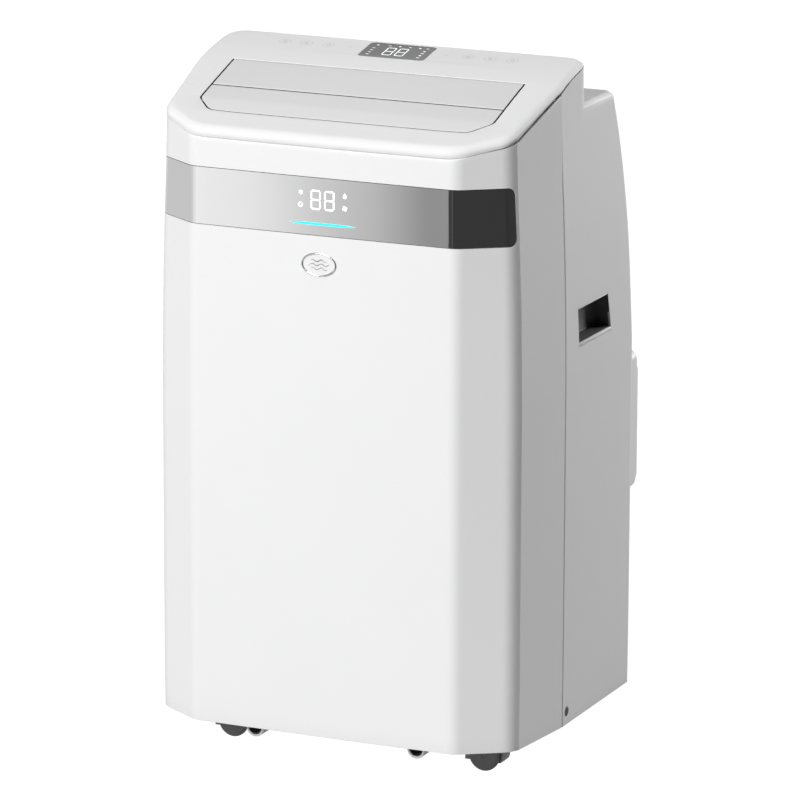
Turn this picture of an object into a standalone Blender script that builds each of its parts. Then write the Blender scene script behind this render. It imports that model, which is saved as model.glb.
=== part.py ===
"""Portable air conditioner on four twin-wheel castors.

Local drawing axes used below, in millimetres: x to the viewer's right, y backwards from the
flat of the front panel, z up from the floor. point() turns them into world metres.
"""

import math

import bmesh
import bpy
from mathutils import Matrix
from mathutils import Vector

# ---------------------------------------------------------------- driving dimensions, mm
DEPTH = 383.0            # face of the badge to the rim of the exhaust collar
FRONT_PROUD = 2.4        # the badge stands this far in front of the drawing plane
FRONT_BOW = 1.2          # the front panel's flat bows forward by this much
Y_SHIFT = DEPTH / 2 - FRONT_PROUD

KINK_X = 153.0           # half width of the flat front
CORNER_X = 209.5         # virtual corner of facet and side
CORNER_Y = 35.8
SEAM_X = 221.0           # half width at the seam between front panel and rear cover
SEAM_Y = 139.5
REAR_Y = 334.0           # back of the rear cover
KINK_R = 25.0
CORNER_R = 28.0
REAR_R = 8.0

SHELL = 2.5              # wall of the plastic covers
GAP = 0.4                # gap between pieces that touch
PANEL_Z0 = 44.0          # bottom edge of the covers
BAND_Z0 = 595.0
BAND_Z1 = 657.5
BAND_END_Y = 40.2
BOX_TOP_Z = 718.0        # top of the rear box behind the top cover
TOWER_Y = 222.0          # rear wall of the part under the top cover
TOWER_R = 25.0
RIM = 10.0               # height of the top cover's rim at the front
COVER_T = 3.2            # thickness of the top cover

TAPER = ((44, 0.4), (120, 0.0), (410, 0.0), (497, 1.0), (583, 3.4), (670, 6.9), (720, 8.5), (780, 9.5))
REAR_PROFILE = ((440, 334.0), (479, 331.0), (525, 328.0), (569, 324.0), (603, 319.0), (638, 313.0), (675, 304.0),
                (700, 296.0), (711, 292.0))
TOP_PROFILE = ((-3, 699.0), (36, 712.0), (60, 720.5), (85, 729.0), (112, 738.0), (140, 747.0), (171.5, 755.8),
               (192, 760.0), (211.7, 763.6), (222, 765.0), (240, 767.0))

LOUVRE_X = 169.2
LOUVRE_Y = (36.2, 85.2, 139.8)
LOUVRE_PIVOT_DROP = 6.0
LENS_X = 38.6
LENS_Y = (171.5, 211.7)

WHEEL_R = 17.5
WHEEL_HALF = 18.0        # half the length of a twin wheel
HOOD_R = 19.5
TRAIL = 12.0
CASTOR_X = 138.0         # swivel axis
CASTOR_Y = (106.7, 285.0)

HANDLE_Y = (175.5, 262.5)
SOCKETS = {-1: -96.9, 1: 94.3}
HANDLE_Z = (461.0, 502.0)

EXHAUST_X = 131.0
EXHAUST_Z = 339.0
EXHAUST_R = 70.0
BLOWER_Y = 150.0
BLOWER_Z = 560.0
COND_Y = 185.0
COND_Z = 240.0

ROOT = "portable_air_conditioner"


# ---------------------------------------------------------------- helpers
def lerp(table, value):
    """Straight-line reading of a table of (position, result)."""
    if value <= table[0][0]:
        return table[0][1]
    for (a, fa), (b, fb) in zip(table, table[1:]):
        if value <= b:
            return fa + (fb - fa) * (value - a) / (b - a)
    return table[-1][1]


def point(x, y, z):
    """Local millimetres to world metres."""
    return Vector((x * 0.001, (y - Y_SHIFT) * 0.001, z * 0.001))


def clear_scene():
    for item in list(bpy.data.objects):
        bpy.data.objects.remove(item, do_unlink=True)


def make_collection(name):
    group = bpy.data.collections.new(name)
    bpy.context.scene.collection.children.link(group)
    return group


def make_material(name, colour, metallic=0.0, roughness=0.5, coat=0.0, glow=0.0):
    mat = bpy.data.materials.new(name)
    mat.use_nodes = True
    shader = mat.node_tree.nodes["Principled BSDF"]
    shader.inputs["Base Color"].default_value = (*colour, 1.0)
    shader.inputs["Metallic"].default_value = metallic
    shader.inputs["Roughness"].default_value = roughness
    shader.inputs["Coat Weight"].default_value = coat
    if glow:
        shader.inputs["Emission Color"].default_value = (*colour, 1.0)
        shader.inputs["Emission Strength"].default_value = glow
    return mat


def materials():
    return {
        "white_plastic": make_material("white_plastic", (0.86, 0.86, 0.86), roughness=0.38),
        "mirror_trim": make_material("mirror_trim", (0.72, 0.72, 0.73), metallic=0.9, roughness=0.12),
        "light_guide": make_material("light_guide", (0.05, 0.8, 0.8), roughness=0.3, glow=1.0),
        "satin_grey": make_material("satin_grey", (0.62, 0.63, 0.64), roughness=0.42),
        "dark_lens": make_material("dark_lens", (0.06, 0.06, 0.065), roughness=0.12, coat=0.5),
        "dark_plastic": make_material("dark_plastic", (0.06, 0.06, 0.065), roughness=0.5),
        "inner_plastic": make_material("inner_plastic", (0.3, 0.31, 0.32), roughness=0.6),
        "foam_white": make_material("foam_white", (0.75, 0.75, 0.73), roughness=0.9),
        "fin_aluminium": make_material("fin_aluminium", (0.7, 0.71, 0.72), metallic=1.0, roughness=0.4),
        "copper": make_material("copper", (0.72, 0.36, 0.2), metallic=1.0, roughness=0.3),
        "black_paint": make_material("black_paint", (0.03, 0.03, 0.03), metallic=0.1, roughness=0.4),
        "steel": make_material("steel", (0.55, 0.55, 0.56), metallic=1.0, roughness=0.35),
        "board_green": make_material("board_green", (0.03, 0.2, 0.08), roughness=0.5),
        "rubber": make_material("rubber", (0.02, 0.02, 0.02), roughness=0.8),
    }


class Shop:
    """Makes objects in one collection and does their Booleans."""

    def __init__(self):
        self.parts = make_collection(ROOT)
        self.mats = materials()

    def mesh(self, name, verts, faces):
        """A loose object from local millimetre vertices; it isn't in a collection yet."""
        data = bpy.data.meshes.new(name)
        data.from_pydata([point(*v) for v in verts], [], faces)
        body = bmesh.new()
        body.from_mesh(data)
        bmesh.ops.recalc_face_normals(body, faces=body.faces)
        body.to_mesh(data)
        body.free()
        item = bpy.data.objects.new(name, data)
        self.parts.objects.link(item)
        return item

    def combine(self, base, other, operation):
        """Boolean of two objects; the second one is used up."""
        mod = base.modifiers.new("combine", "BOOLEAN")
        mod.operation = operation
        mod.solver = "EXACT"
        mod.object = other
        bpy.context.view_layer.update()
        graph = bpy.context.evaluated_depsgraph_get()
        result = bpy.data.meshes.new_from_object(base.evaluated_get(graph))
        base.modifiers.clear()
        old = base.data
        base.data = result
        bpy.data.meshes.remove(old)
        bpy.data.objects.remove(other, do_unlink=True)
        weld(base, 0.00002)
        return base

    def cut(self, base, *others):
        for other in others:
            self.combine(base, other, "DIFFERENCE")
        return base

    def join(self, base, *others):
        for other in others:
            self.combine(base, other, "UNION")
        return base

    def finish(self, item, name, slot, origin=None):
        """Names a node, gives it its material and puts its origin on its joint axis."""
        item.name = name
        item.data.name = name
        item.data.materials.clear()
        item.data.materials.append(self.mats[slot])
        if origin is not None:
            spot = point(*origin)
            item.data.transform(Matrix.Translation(-spot))
            item.location = spot
        return item


def weld(item, distance):
    body = bmesh.new()
    body.from_mesh(item.data)
    bmesh.ops.remove_doubles(body, verts=body.verts, dist=distance)
    bmesh.ops.dissolve_degenerate(body, edges=body.edges, dist=distance)
    body.to_mesh(item.data)
    body.free()


# ---------------------------------------------------------------- basic shapes
def ring_solid(shop, rings, closed_ends=True):
    """Solid from a stack of loops with the same number of points."""
    count = len(rings[0])
    verts = [p for ring in rings for p in ring]
    faces = []
    for level in range(len(rings) - 1):
        for i in range(count):
            j = (i + 1) % count
            a = level * count
            b = a + count
            faces.append((a + i, a + j, b + j, b + i))
    if closed_ends:
        faces.append(tuple(reversed(range(count))))
        last = (len(rings) - 1) * count
        faces.append(tuple(range(last, last + count)))
    return shop.mesh("solid", verts, faces)


def box(shop, x0, x1, y0, y1, z0, z1):
    low = [(x0, y0, z0), (x1, y0, z0), (x1, y1, z0), (x0, y1, z0)]
    high = [(x, y, z1) for x, y, _ in low]
    return ring_solid(shop, [low, high])


def soft_box(shop, x0, x1, y0, y1, z0, z1, radius, axis="z", steps=3):
    """Box with the four edges along one axis rounded."""
    spans = {"z": ((x0, x1), (y0, y1), (z0, z1)), "y": ((x0, x1), (z0, z1), (y0, y1)),
             "x": ((y0, y1), (z0, z1), (x0, x1))}
    (a0, a1), (b0, b1), (c0, c1) = spans[axis]
    flat = round_loop([(a0, b0, radius), (a1, b0, radius), (a1, b1, radius), (a0, b1, radius)], steps)
    place = {"z": lambda a, b, c: (a, b, c), "y": lambda a, b, c: (a, c, b), "x": lambda a, b, c: (c, a, b)}[axis]
    return ring_solid(shop, [[place(a, b, c0) for a, b in flat], [place(a, b, c1) for a, b in flat]])


def round_corner(before, here, after, radius, steps):
    """Points of an arc of that radius tangent to both sides of a corner."""
    p = Vector(here)
    u = (Vector(before) - p).normalized()
    v = (Vector(after) - p).normalized()
    half = math.acos(max(-1.0, min(1.0, u.dot(v)))) / 2
    reach = radius / math.tan(half)
    middle = p + (u + v).normalized() * (radius / math.sin(half))
    start = p + u * reach - middle
    end = p + v * reach - middle
    turn = math.atan2(start.x * end.y - start.y * end.x, start.dot(end))
    points = []
    for i in range(steps + 1):
        angle = turn * i / steps
        c = math.cos(angle)
        s = math.sin(angle)
        points.append((middle.x + start.x * c - start.y * s, middle.y + start.x * s + start.y * c))
    return points


def round_loop(corners, steps=4):
    """Closed loop with each (x, y, radius) corner rounded; radius 0 keeps it sharp."""
    loop = []
    count = len(corners)
    for i, (x, y, radius) in enumerate(corners):
        if radius <= 0:
            loop.append((x, y))
            continue
        before = corners[i - 1][:2]
        after = corners[(i + 1) % count][:2]
        loop.extend(round_corner(before, (x, y), after, radius, steps))
    return loop


def cylinder(shop, centre, axis, length, radius, sides=24, inner=0.0):
    """Cylinder or tube starting at centre and running along +axis."""
    return lathe(shop, centre, axis, [(0, radius), (length, radius)], sides, inner)


def lathe(shop, centre, axis, profile, sides=24, inner=0.0):
    """Turned solid: profile is (distance along the axis, radius); inner bores it through."""
    cx, cy, cz = centre
    place = {"x": lambda d, a, b: (cx + d, cy + a, cz + b), "y": lambda d, a, b: (cx + a, cy + d, cz + b),
             "z": lambda d, a, b: (cx + a, cy + b, cz + d)}[axis]
    rings = []
    for d, r in profile:
        rings.append([place(d, r * math.cos(t), r * math.sin(t)) for t in angles(sides)])
    if not inner:
        return ring_solid(shop, rings)
    for d in (profile[-1][0], profile[0][0]):
        rings.append([place(d, inner * math.cos(t), inner * math.sin(t)) for t in angles(sides)])
    count = sides
    verts = [p for ring in rings for p in ring]
    faces = []
    for level in range(len(rings)):
        a = level * count
        b = ((level + 1) % len(rings)) * count
        for i in range(count):
            j = (i + 1) % count
            faces.append((a + i, a + j, b + j, b + i))
    return shop.mesh("tube", verts, faces)


def angles(sides):
    return [2 * math.pi * i / sides for i in range(sides)]


def pipe(shop, path, radius, sides=10):
    """Round bar along a path of local points."""
    spots = [Vector(p) for p in path]
    rings = []
    side = None
    for i, spot in enumerate(spots):
        ahead = (spots[min(i + 1, len(spots) - 1)] - spot)
        behind = (spot - spots[max(i - 1, 0)])
        run = (ahead.normalized() + behind.normalized()).normalized()
        if side is None:
            side = run.orthogonal().normalized()
        side = (side - run * side.dot(run)).normalized()
        other = run.cross(side)
        stretch = 1.0
        if 0 < i < len(spots) - 1:
            stretch = 1.0 / max(0.5, math.cos(ahead.angle(behind) / 2))
        ring = []
        for t in angles(sides):
            ring.append(tuple(spot + (side * math.cos(t) + other * math.sin(t)) * radius * min(stretch, 1.15)))
        rings.append(ring)
    return ring_solid(shop, rings)


def bend_path(corners, radius, steps=4):
    """Path through 3D corners with each inner corner rounded."""
    spots = [Vector(c) for c in corners]
    path = [spots[0]]
    for before, here, after in zip(spots, spots[1:], spots[2:]):
        u = (before - here).normalized()
        v = (after - here).normalized()
        half = u.angle(v) / 2
        reach = radius / math.tan(half)
        middle = here + (u + v).normalized() * (radius / math.sin(half))
        start = here + u * reach - middle
        end = here + v * reach - middle
        total = start.angle(end)
        normal = start.cross(end).normalized()
        for i in range(steps + 1):
            path.append(middle + Matrix.Rotation(total * i / steps, 3, normal) @ start)
    path.append(spots[-1])
    return [tuple(p) for p in path]


def gear(teeth, outer, inner, share=0.45):
    """Closed toothed outline in its own plane."""
    loop = []
    for i in range(teeth):
        base = 2 * math.pi * i / teeth
        step = 2 * math.pi / teeth
        for at, r in ((0.0, inner), (0.12, outer), (share, outer), (share + 0.12, inner)):
            loop.append((r * math.cos(base + step * at), r * math.sin(base + step * at)))
    return loop


# ---------------------------------------------------------------- outline of the cabinet
def front_points(z, inset, steps=4):
    """Front half of the plan outline from the left seam to the right seam at height z."""
    t = lerp(TAPER, z)
    side = Vector((SEAM_X - CORNER_X, SEAM_Y - CORNER_Y)).normalized()
    facet = Vector((CORNER_X - t - KINK_X, CORNER_Y)).normalized()
    corner = inset_corner((CORNER_X - t, CORNER_Y), facet, side, inset)
    kink = inset_corner((KINK_X, 0.0), Vector((1.0, 0.0)), facet, inset)
    seam_x = SEAM_X - t - inset / side.y
    nose = (0.0, inset - FRONT_BOW)
    half = [nose]
    half.extend(round_corner(nose, kink, corner, KINK_R - inset, 3))
    half.extend(round_corner(kink, corner, (seam_x, SEAM_Y), CORNER_R - inset, steps))
    half.append((seam_x, SEAM_Y))
    left = [(-x, y) for x, y in reversed(half[1:])]
    return left + half


def inset_corner(spot, first, second, inset):
    """Corner of two straight runs after both are moved inwards."""
    n1 = Vector((-first.y, first.x))
    n2 = Vector((-second.y, second.x))
    blend = (n1 + n2) / (1 + n1.dot(n2))
    return (spot[0] + blend.x * inset, spot[1] + blend.y * inset)


def rear_outline(z, inset, y_front):
    """Rear cover's plan outline, a closed loop, at height z."""
    x = SEAM_X - lerp(TAPER, z) - inset
    y = REAR_Y - inset
    radius = max(REAR_R - inset, 2.0)
    return round_loop([(-x, y_front, 0), (x, y_front, 0), (x, y, radius), (-x, y, radius)], 3)


def top_z(y):
    return lerp(TOP_PROFILE, y)


def rim_height(y):
    """The rim gets lower towards the back."""
    return RIM * (1.0 - 0.6 * max(0.0, min(1.0, y / TOWER_Y)))


def split_z(y):
    """Lower edge of the top cover's rim."""
    return top_z(y) - rim_height(y)


LEVELS = (44, 120, 265, 410, 497, 583, 640)


def shade_gap(y):
    """The body stops lower under the rim along the side wings."""
    return 0.6 + 2.4 * max(0.0, min(1.0, (y - 20) / 25))


# ---------------------------------------------------------------- covers
def wall_between(shop, outer, inner):
    """U-shaped wall from matching stacks of open outer and inner point rows."""
    rings = [row_out + list(reversed(row_in)) for row_out, row_in in zip(outer, inner)]
    return ring_solid(shop, rings)


def front_rows(levels, inset, top=None, y_max=SEAM_Y):
    rows = []
    for z in levels:
        rows.append([(x, min(y, y_max), z) for x, y in front_points(z, inset)])
    if top is not None:
        last = []
        for x, y in front_points(690, inset):
            last.append((x, min(y, y_max), top(y)))
        rows.append(last)
    return rows


def build_front_panel(shop):
    def top(y):
        return split_z(y) - shade_gap(y)

    outer = front_rows(LEVELS, 0.0, top, SEAM_Y - 0.3)
    inner = front_rows(LEVELS, SHELL, top, SEAM_Y - 0.3)
    panel = wall_between(shop, outer, inner)
    recess = band_volume(shop, BAND_Z0, BAND_Z1, -4.0, 1.7, BAND_END_Y + 0.4)
    shop.cut(panel, recess)
    window = soft_box(shop, -31, 31, -3, 6, 618, 650, 2, "y")
    shop.cut(panel, window)
    return shop.finish(panel, "front_panel", "white_plastic")


def band_volume(shop, z0, z1, outer, inner, y_end):
    """Strip that follows the front outline and stops behind each rounded corner."""
    rows = []
    for z in (z0, (z0 + z1) / 2, z1):
        loop = []
        for inset, flip in ((outer, False), (inner, True)):
            row = clip_row(front_points(z, inset), y_end)
            loop.extend(reversed(row) if flip else row)
        rows.append([(x, y, z) for x, y in loop])
    return ring_solid(shop, rows)


def clip_row(row, y_end):
    """Open row of points cut where it passes y_end on both sides."""
    kept = []
    for (x0, y0), (x1, y1) in zip(row, row[1:]):
        inside0 = y0 <= y_end
        inside1 = y1 <= y_end
        if inside0 and not kept:
            kept.append((x0, y0))
        if inside0 != inside1:
            part = (y_end - y0) / (y1 - y0)
            kept.append((x0 + (x1 - x0) * part, y_end))
        if inside1:
            kept.append((x1, y1))
    return kept


def build_band(shop):
    band = band_volume(shop, BAND_Z0 + 0.4, BAND_Z1 - 0.4, 0.15, 1.4, BAND_END_Y)
    slot = soft_box(shop, -38.7, 38.7, -4, 4, 606.0, 609.4, 1.6, "y")
    shop.cut(band, slot)
    shop.finish(band, "front_band", "mirror_trim")
    bar = soft_box(shop, -38.3, 38.3, -1.3, 0.1, 606.4, 609.0, 1.2, "y")
    shop.finish(bar, "front_light_bar", "light_guide")


def build_front_display(shop):
    board = box(shop, -42, 42, 8.0, 9.6, 602, 654)
    shop.join(board, soft_box(shop, -30, 30, 3.0, 8.4, 619, 649, 2, "y"))
    shop.finish(board, "front_display_board", "board_green")
    flat = [(-3.6 + 20.0 * math.cos(t), 564.0 + 12.6 * math.sin(t)) for t in angles(28)]
    badge = ring_solid(shop, [[(x, y, z) for x, z in flat] for y in (-2.4, -1.5)])
    shop.finish(badge, "front_badge", "satin_grey")


def profile_cutter(shop, profile):
    """Bar across the whole width with a closed side profile of (y, z)."""
    return ring_solid(shop, [[(x, y, z) for y, z in profile] for x in (-260, 260)])


def rear_profile(inset, y_front):
    """Side profile of the rear cover, moved inwards."""
    back = [(y - inset, z) for z, y in REAR_PROFILE]
    top_front = BOX_TOP_Z - inset
    profile = [(y_front, 30), (340 - inset, 30), (340 - inset, 436)]
    profile.extend(back)
    profile.append((285 - inset * 0.6, top_front))
    profile.append((TOWER_Y - inset, top_front))
    lift = 4.0 if inset else -0.8
    for y in (222, 211.7, 192, 171.5, 145):
        profile.append((min(y, TOWER_Y - inset), split_z(y) + lift))
    profile.append((y_front, split_z(y_front) + lift))
    clean = []
    for spot in profile:
        if not clean or (Vector(spot) - Vector(clean[-1])).length > 0.5:
            clean.append(spot)
    return clean


def tower_corner(shop, side, inset):
    """Takes the square rear corner off the tower above the rear box."""
    x = side * (SEAM_X - lerp(TAPER, 740) - inset)
    y = TOWER_Y - inset
    r = TOWER_R - inset
    arc = []
    for i in range(7):
        a = math.pi / 2 * i / 6
        arc.append((x - side * r * (1 - math.cos(a)), y - r * (1 - math.sin(a))))
    out = side * 12
    loop = [(x + out, y - r)] + [(x + side * 0.0, y - r)] + arc[1:] + [(x - side * r, y + 14), (x + out, y + 14)]
    z0 = BOX_TOP_Z - inset
    return ring_solid(shop, [[(a, b, z0) for a, b in loop], [(a, b, 800) for a, b in loop]])


def rear_body(shop, inset, y_front):
    rows = []
    for z in (44, 120, 410, 497, 583, 670, 720, 780):
        z_here = z if not inset or z > 44 else 40
        rows.append([(x, y, z_here) for x, y in rear_outline(z, inset, y_front)])
    body = ring_solid(shop, rows)
    shop.combine(body, profile_cutter(shop, rear_profile(inset, y_front)), "INTERSECT")
    return body


def slots(shop, x0, x1, z0, z1, columns, rows, y0=250, y1=350, bar=4.0):
    """Grid of slots as cutters, one per opening."""
    cutters = []
    width = (x1 - x0 - bar * (columns - 1)) / columns
    height = (z1 - z0 - bar * (rows - 1)) / rows
    for c in range(columns):
        for r in range(rows):
            x = x0 + c * (width + bar)
            z = z0 + r * (height + bar)
            cutters.append((x, x + width, y0, y1, z, z + height))
    return cutters


def build_rear_cover(shop):
    body = rear_body(shop, 0.0, SEAM_Y + 0.3)
    for side in (-1, 1):
        shop.cut(body, tower_corner(shop, side, 0.0))
    hollow = rear_body(shop, SHELL, SEAM_Y - 6)
    for side in (-1, 1):
        shop.cut(hollow, tower_corner(shop, side, SHELL))
    shop.cut(body, hollow)
    shop.cut(body, box(shop, -176, 176, 250, 350, 452, 700))
    shop.cut(body, box(shop, -192, 36, 320, 350, 176, 424))
    shop.cut(body, cylinder(shop, (EXHAUST_X, 320, EXHAUST_Z), "y", 30, EXHAUST_R + 0.5, 36))
    for side in (-1, 1):
        y0, y1 = HANDLE_Y
        z0, z1 = HANDLE_Z
        shop.cut(body, box(shop, side * 214, side * 230, y0 - 1, y1 + 1, z0 - 1, z1 + 1))
        shop.cut(body, cylinder(shop, (side * 222.5 - 5, 151.7, 59), "x", 10, 5.9, 20))
    shop.cut(body, cylinder(shop, (-60, 320, 118), "y", 30, 9.4, 20))
    shop.cut(body, cylinder(shop, (60, 320, 150), "y", 30, 9.4, 20))
    shop.cut(body, cylinder(shop, (-150, 320, 120), "y", 30, 8.4, 20))
    for x, z in REAR_SCREWS:
        shop.cut(body, cylinder(shop, (x, 320, z), "y", 30, 2.3, 12))
    return shop.finish(body, "rear_cover", "white_plastic")


REAR_SCREWS = ((-200, 80), (200, 80), (-205, 450), (205, 450))


# ---------------------------------------------------------------- top cover and louvres
def cover_outline(inset, steps=4):
    """Plan outline of the top cover, a closed loop running clockwise from the front."""
    corners = [(0, -FRONT_BOW), (KINK_X, 0), (202.0, 34.5), (211.8, 139.5), (211.0, TOWER_Y)]
    radii = (0, KINK_R, CORNER_R, 0, TOWER_R)
    runs = []
    for a, b in zip(corners, corners[1:]):
        runs.append((Vector(b) - Vector(a)).normalized())
    runs.append(Vector((-1.0, 0.0)))
    half = [(0.0, corners[0][1] + inset)]
    moved = [half[0]]
    for i in range(1, len(corners)):
        moved.append(inset_corner(corners[i], runs[i - 1], runs[i], inset))
    moved.append((0.0, TOWER_Y - inset))
    for i in range(1, len(corners)):
        if radii[i]:
            half.extend(round_corner(moved[i - 1], moved[i], moved[i + 1], max(radii[i] - inset, 3), steps))
        else:
            half.append(moved[i])
    half.append(moved[-1])
    left = [(-x, y) for x, y in reversed(half[1:-1])]
    return half + left


def drape(item, stations, scale_rim=True):
    """Cuts a flat piece at stations in y and lays it on the sloping top; its z is depth."""
    body = bmesh.new()
    body.from_mesh(item.data)
    for y in stations:
        spot = point(0, y, 0)
        geom = body.verts[:] + body.edges[:] + body.faces[:]
        bmesh.ops.bisect_plane(body, geom=geom, dist=1e-6, plane_co=spot, plane_no=(0, 1, 0))
    for v in body.verts:
        y = v.co.y * 1000 + Y_SHIFT
        depth = v.co.z * 1000
        if scale_rim and depth < -COVER_T:
            depth = -COVER_T + (depth + COVER_T) * (rim_height(y) - COVER_T) / (RIM - COVER_T)
        v.co.z = (top_z(y) + depth) * 0.001
    bmesh.ops.recalc_face_normals(body, faces=body.faces)
    body.to_mesh(item.data)
    body.free()


STATIONS = (36, 60, 85, 112, 140, 171.5, 192, 211.7)


def louvre_loop(y0, y1, x, cut_front):
    if cut_front:
        return [(-142.5, y0), (142.5, y0), (157.5, y0 + 4.5), (x, y0 + 21), (x, y1), (-x, y1), (-x, y0 + 21),
                (-157.5, y0 + 4.5)]
    return [(-x, y0), (x, y0), (x, y1), (-x, y1)]


def build_top_cover(shop):
    rings = []
    section = ((7.2, -COVER_T), (7.2, -16), (5.2, -16), (5.2, -10), (0, -10), (0, -6), (2.4, -2.0), (8.0, 0))
    for inset, depth in section:
        rings.append([(x, y, depth) for x, y in cover_outline(inset)])
    cover = ring_solid(shop, rings)
    y0, _, y2 = LOUVRE_Y
    hole = louvre_loop(y0 - 0.8, y2 + 0.8, LOUVRE_X + 1.3, True)
    shop.cut(cover, ring_solid(shop, [[(x, y, -8) for x, y in hole], [(x, y, 5) for x, y in hole]]))
    a, b = LENS_Y
    shop.cut(cover, soft_box(shop, -LENS_X - 0.3, LENS_X + 0.3, a - 0.3, b + 0.3, -1.8, 5, 5.3, "z"))
    drape(cover, STATIONS)
    shop.finish(cover, "top_cover", "white_plastic")
    lens = soft_box(shop, -LENS_X, LENS_X, a, b, -1.4, 0.0, 5, "z")
    drape(lens, STATIONS, scale_rim=False)
    shop.finish(lens, "control_lens", "dark_lens")


def build_louvre(shop, name, y0, y1, front):
    """One flap with an end web and pivot pin at each side."""
    loop = louvre_loop(y0, y1, LOUVRE_X, front)
    flap = ring_solid(shop, [[(x, y, -2.6) for x, y in loop], [(x, y, -0.1) for x, y in loop]])
    y_mid = (y0 + y1) / 2
    for side in (-1, 1):
        x = side * (LOUVRE_X - 1)
        web = box(shop, min(x, x - side * 3), max(x, x - side * 3), y_mid - 6, y_mid + 6, -9, -2)
        shop.join(flap, web)
    drape(flap, (60, 112) if not front else (60,), scale_rim=False)
    z = top_z(y_mid) - LOUVRE_PIVOT_DROP
    for side in (-1, 1):
        start = side * (LOUVRE_X - 2)
        pin = cylinder(shop, (min(start, start + side * 6), y_mid, z), "x", 6, 1.8, 12)
        shop.join(flap, pin)
    shop.finish(flap, name, "satin_grey", origin=(0, y_mid, z))
    return y_mid, z


def build_outlet(shop):
    y0, y1, y2 = LOUVRE_Y
    build_louvre(shop, "louvre_front", y0, y1 - 0.5, True)
    build_louvre(shop, "louvre_rear", y1 + 0.5, y2, False)
    x = LOUVRE_X + 2.4
    duct = box(shop, -x - 2, x + 2, y0 - 4, y2 + 3.5, 648, 760)
    shop.cut(duct, box(shop, -x, x, y0 - 2, y2 + 1.5, 640, 770))
    lid = [(y, top_z(y) - 4.6) for y in (20, 36, 60, 85, 112, 140, 160)] + [(160, 800), (20, 800)]
    shop.cut(duct, profile_cutter(shop, lid))
    for ya, yb in ((y0, y1 - 0.5), (y1 + 0.5, y2)):
        mid = (ya + yb) / 2
        shop.cut(duct, cylinder(shop, (-200, mid, top_z(mid) - LOUVRE_PIVOT_DROP), "x", 400, 2.2, 12))
    shop.finish(duct, "outlet_duct", "dark_plastic")
    motor_y = (y0 + y1) / 2
    motor_z = top_z(motor_y) - LOUVRE_PIVOT_DROP
    motor = cylinder(shop, (x + 2.4, motor_y, motor_z - 14), "x", 12, 10, 16)
    shop.join(motor, box(shop, x + 2.4, x + 5, motor_y - 15, motor_y + 15, motor_z - 18, motor_z - 10))
    shop.finish(motor, "louvre_motor", "steel")


# ---------------------------------------------------------------- base
def inner_loop(inset, z):
    """Loop at height z that runs inside the covers' walls all the way round."""
    row = [(x, y, z) for x, y in front_points(120, inset)]
    x = SEAM_X - inset
    y = REAR_Y - inset
    row += [(x, y - 7, z), (x - 2, y - 2, z), (x - 7, y, z)]
    row += [(7 - x, y, z), (2 - x, y - 2, z), (-x, y - 7, z)]
    return row


def build_base(shop):
    pan = ring_solid(shop, [inner_loop(3.2, 44.4), inner_loop(3.2, 66)])
    shop.cut(pan, ring_solid(shop, [inner_loop(6.2, 48), inner_loop(6.2, 80)]))
    for side in (-1, 1):
        for y in CASTOR_Y:
            shop.join(pan, cylinder(shop, (side * CASTOR_X, y, 42), "z", 32, 9.5, 14))
        x = SOCKETS[side]
        shop.join(pan, cylinder(shop, (x, 35.3, 32.6), "y", 28, 10.3, 20))
        shop.join(pan, box(shop, x - 5, x + 5, 40, 60, 38, 46))
    for side in (-1, 1):
        for y in CASTOR_Y:
            shop.cut(pan, cylinder(shop, (side * CASTOR_X, y, 30), "z", 40, 5.3, 14))
        shop.cut(pan, cylinder(shop, (SOCKETS[side], 30, 32.6), "y", 24, 8.0, 20))
    shop.cut(pan, cylinder(shop, (-250, 151.7, 59), "x", 500, 2.4, 14))
    shop.finish(pan, "base_pan", "inner_plastic")
    sump = box(shop, -30, 60, 236, 318, 48.4, 62)
    shop.cut(sump, box(shop, -27.5, 57.5, 238.5, 315.5, 51, 80))
    shop.finish(sump, "condensate_sump", "inner_plastic")
    for side, name in ((-1, "rear_foot_left"), (1, "rear_foot_right")):
        foot = lathe(shop, (side * 203, 266, 39), "z", [(0, 9), (1, 10), (5.1, 10)], 20)
        shop.finish(foot, name, "rubber")


def build_castor(shop, side, y, tag):
    stem_x = side * CASTOR_X
    wheel_x = side * (CASTOR_X + TRAIL)
    z = WHEEL_R
    hood = cylinder(shop, (wheel_x, y - 11.8, z), "y", 23.6, HOOD_R, 20)
    shop.cut(hood, box(shop, wheel_x - 30, wheel_x + 30, y - 20, y + 20, -10, 9))
    shop.join(hood, lathe(shop, (stem_x, y, 24), "z", [(0, 5.4), (12, 5.4), (12, 8.5), (16.4, 8.5), (16.4, 4.8),
                                                       (44, 4.8)], 14))
    shop.cut(hood, cylinder(shop, (wheel_x, y - 14, z), "y", 28, 3.0, 12))
    shop.finish(hood, "castor_hood_" + tag, "dark_plastic", origin=(stem_x, y, 41))
    profile = [(-WHEEL_HALF, 14.0), (-16.4, WHEEL_R), (-12.3, WHEEL_R), (-12.3, 2.6)]
    profile += [(-d, r) for d, r in reversed(profile)]
    wheel = lathe(shop, (wheel_x, y, z), "y", profile, 24)
    shop.finish(wheel, "castor_wheel_" + tag, "dark_plastic", origin=(wheel_x, y, z))


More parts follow.
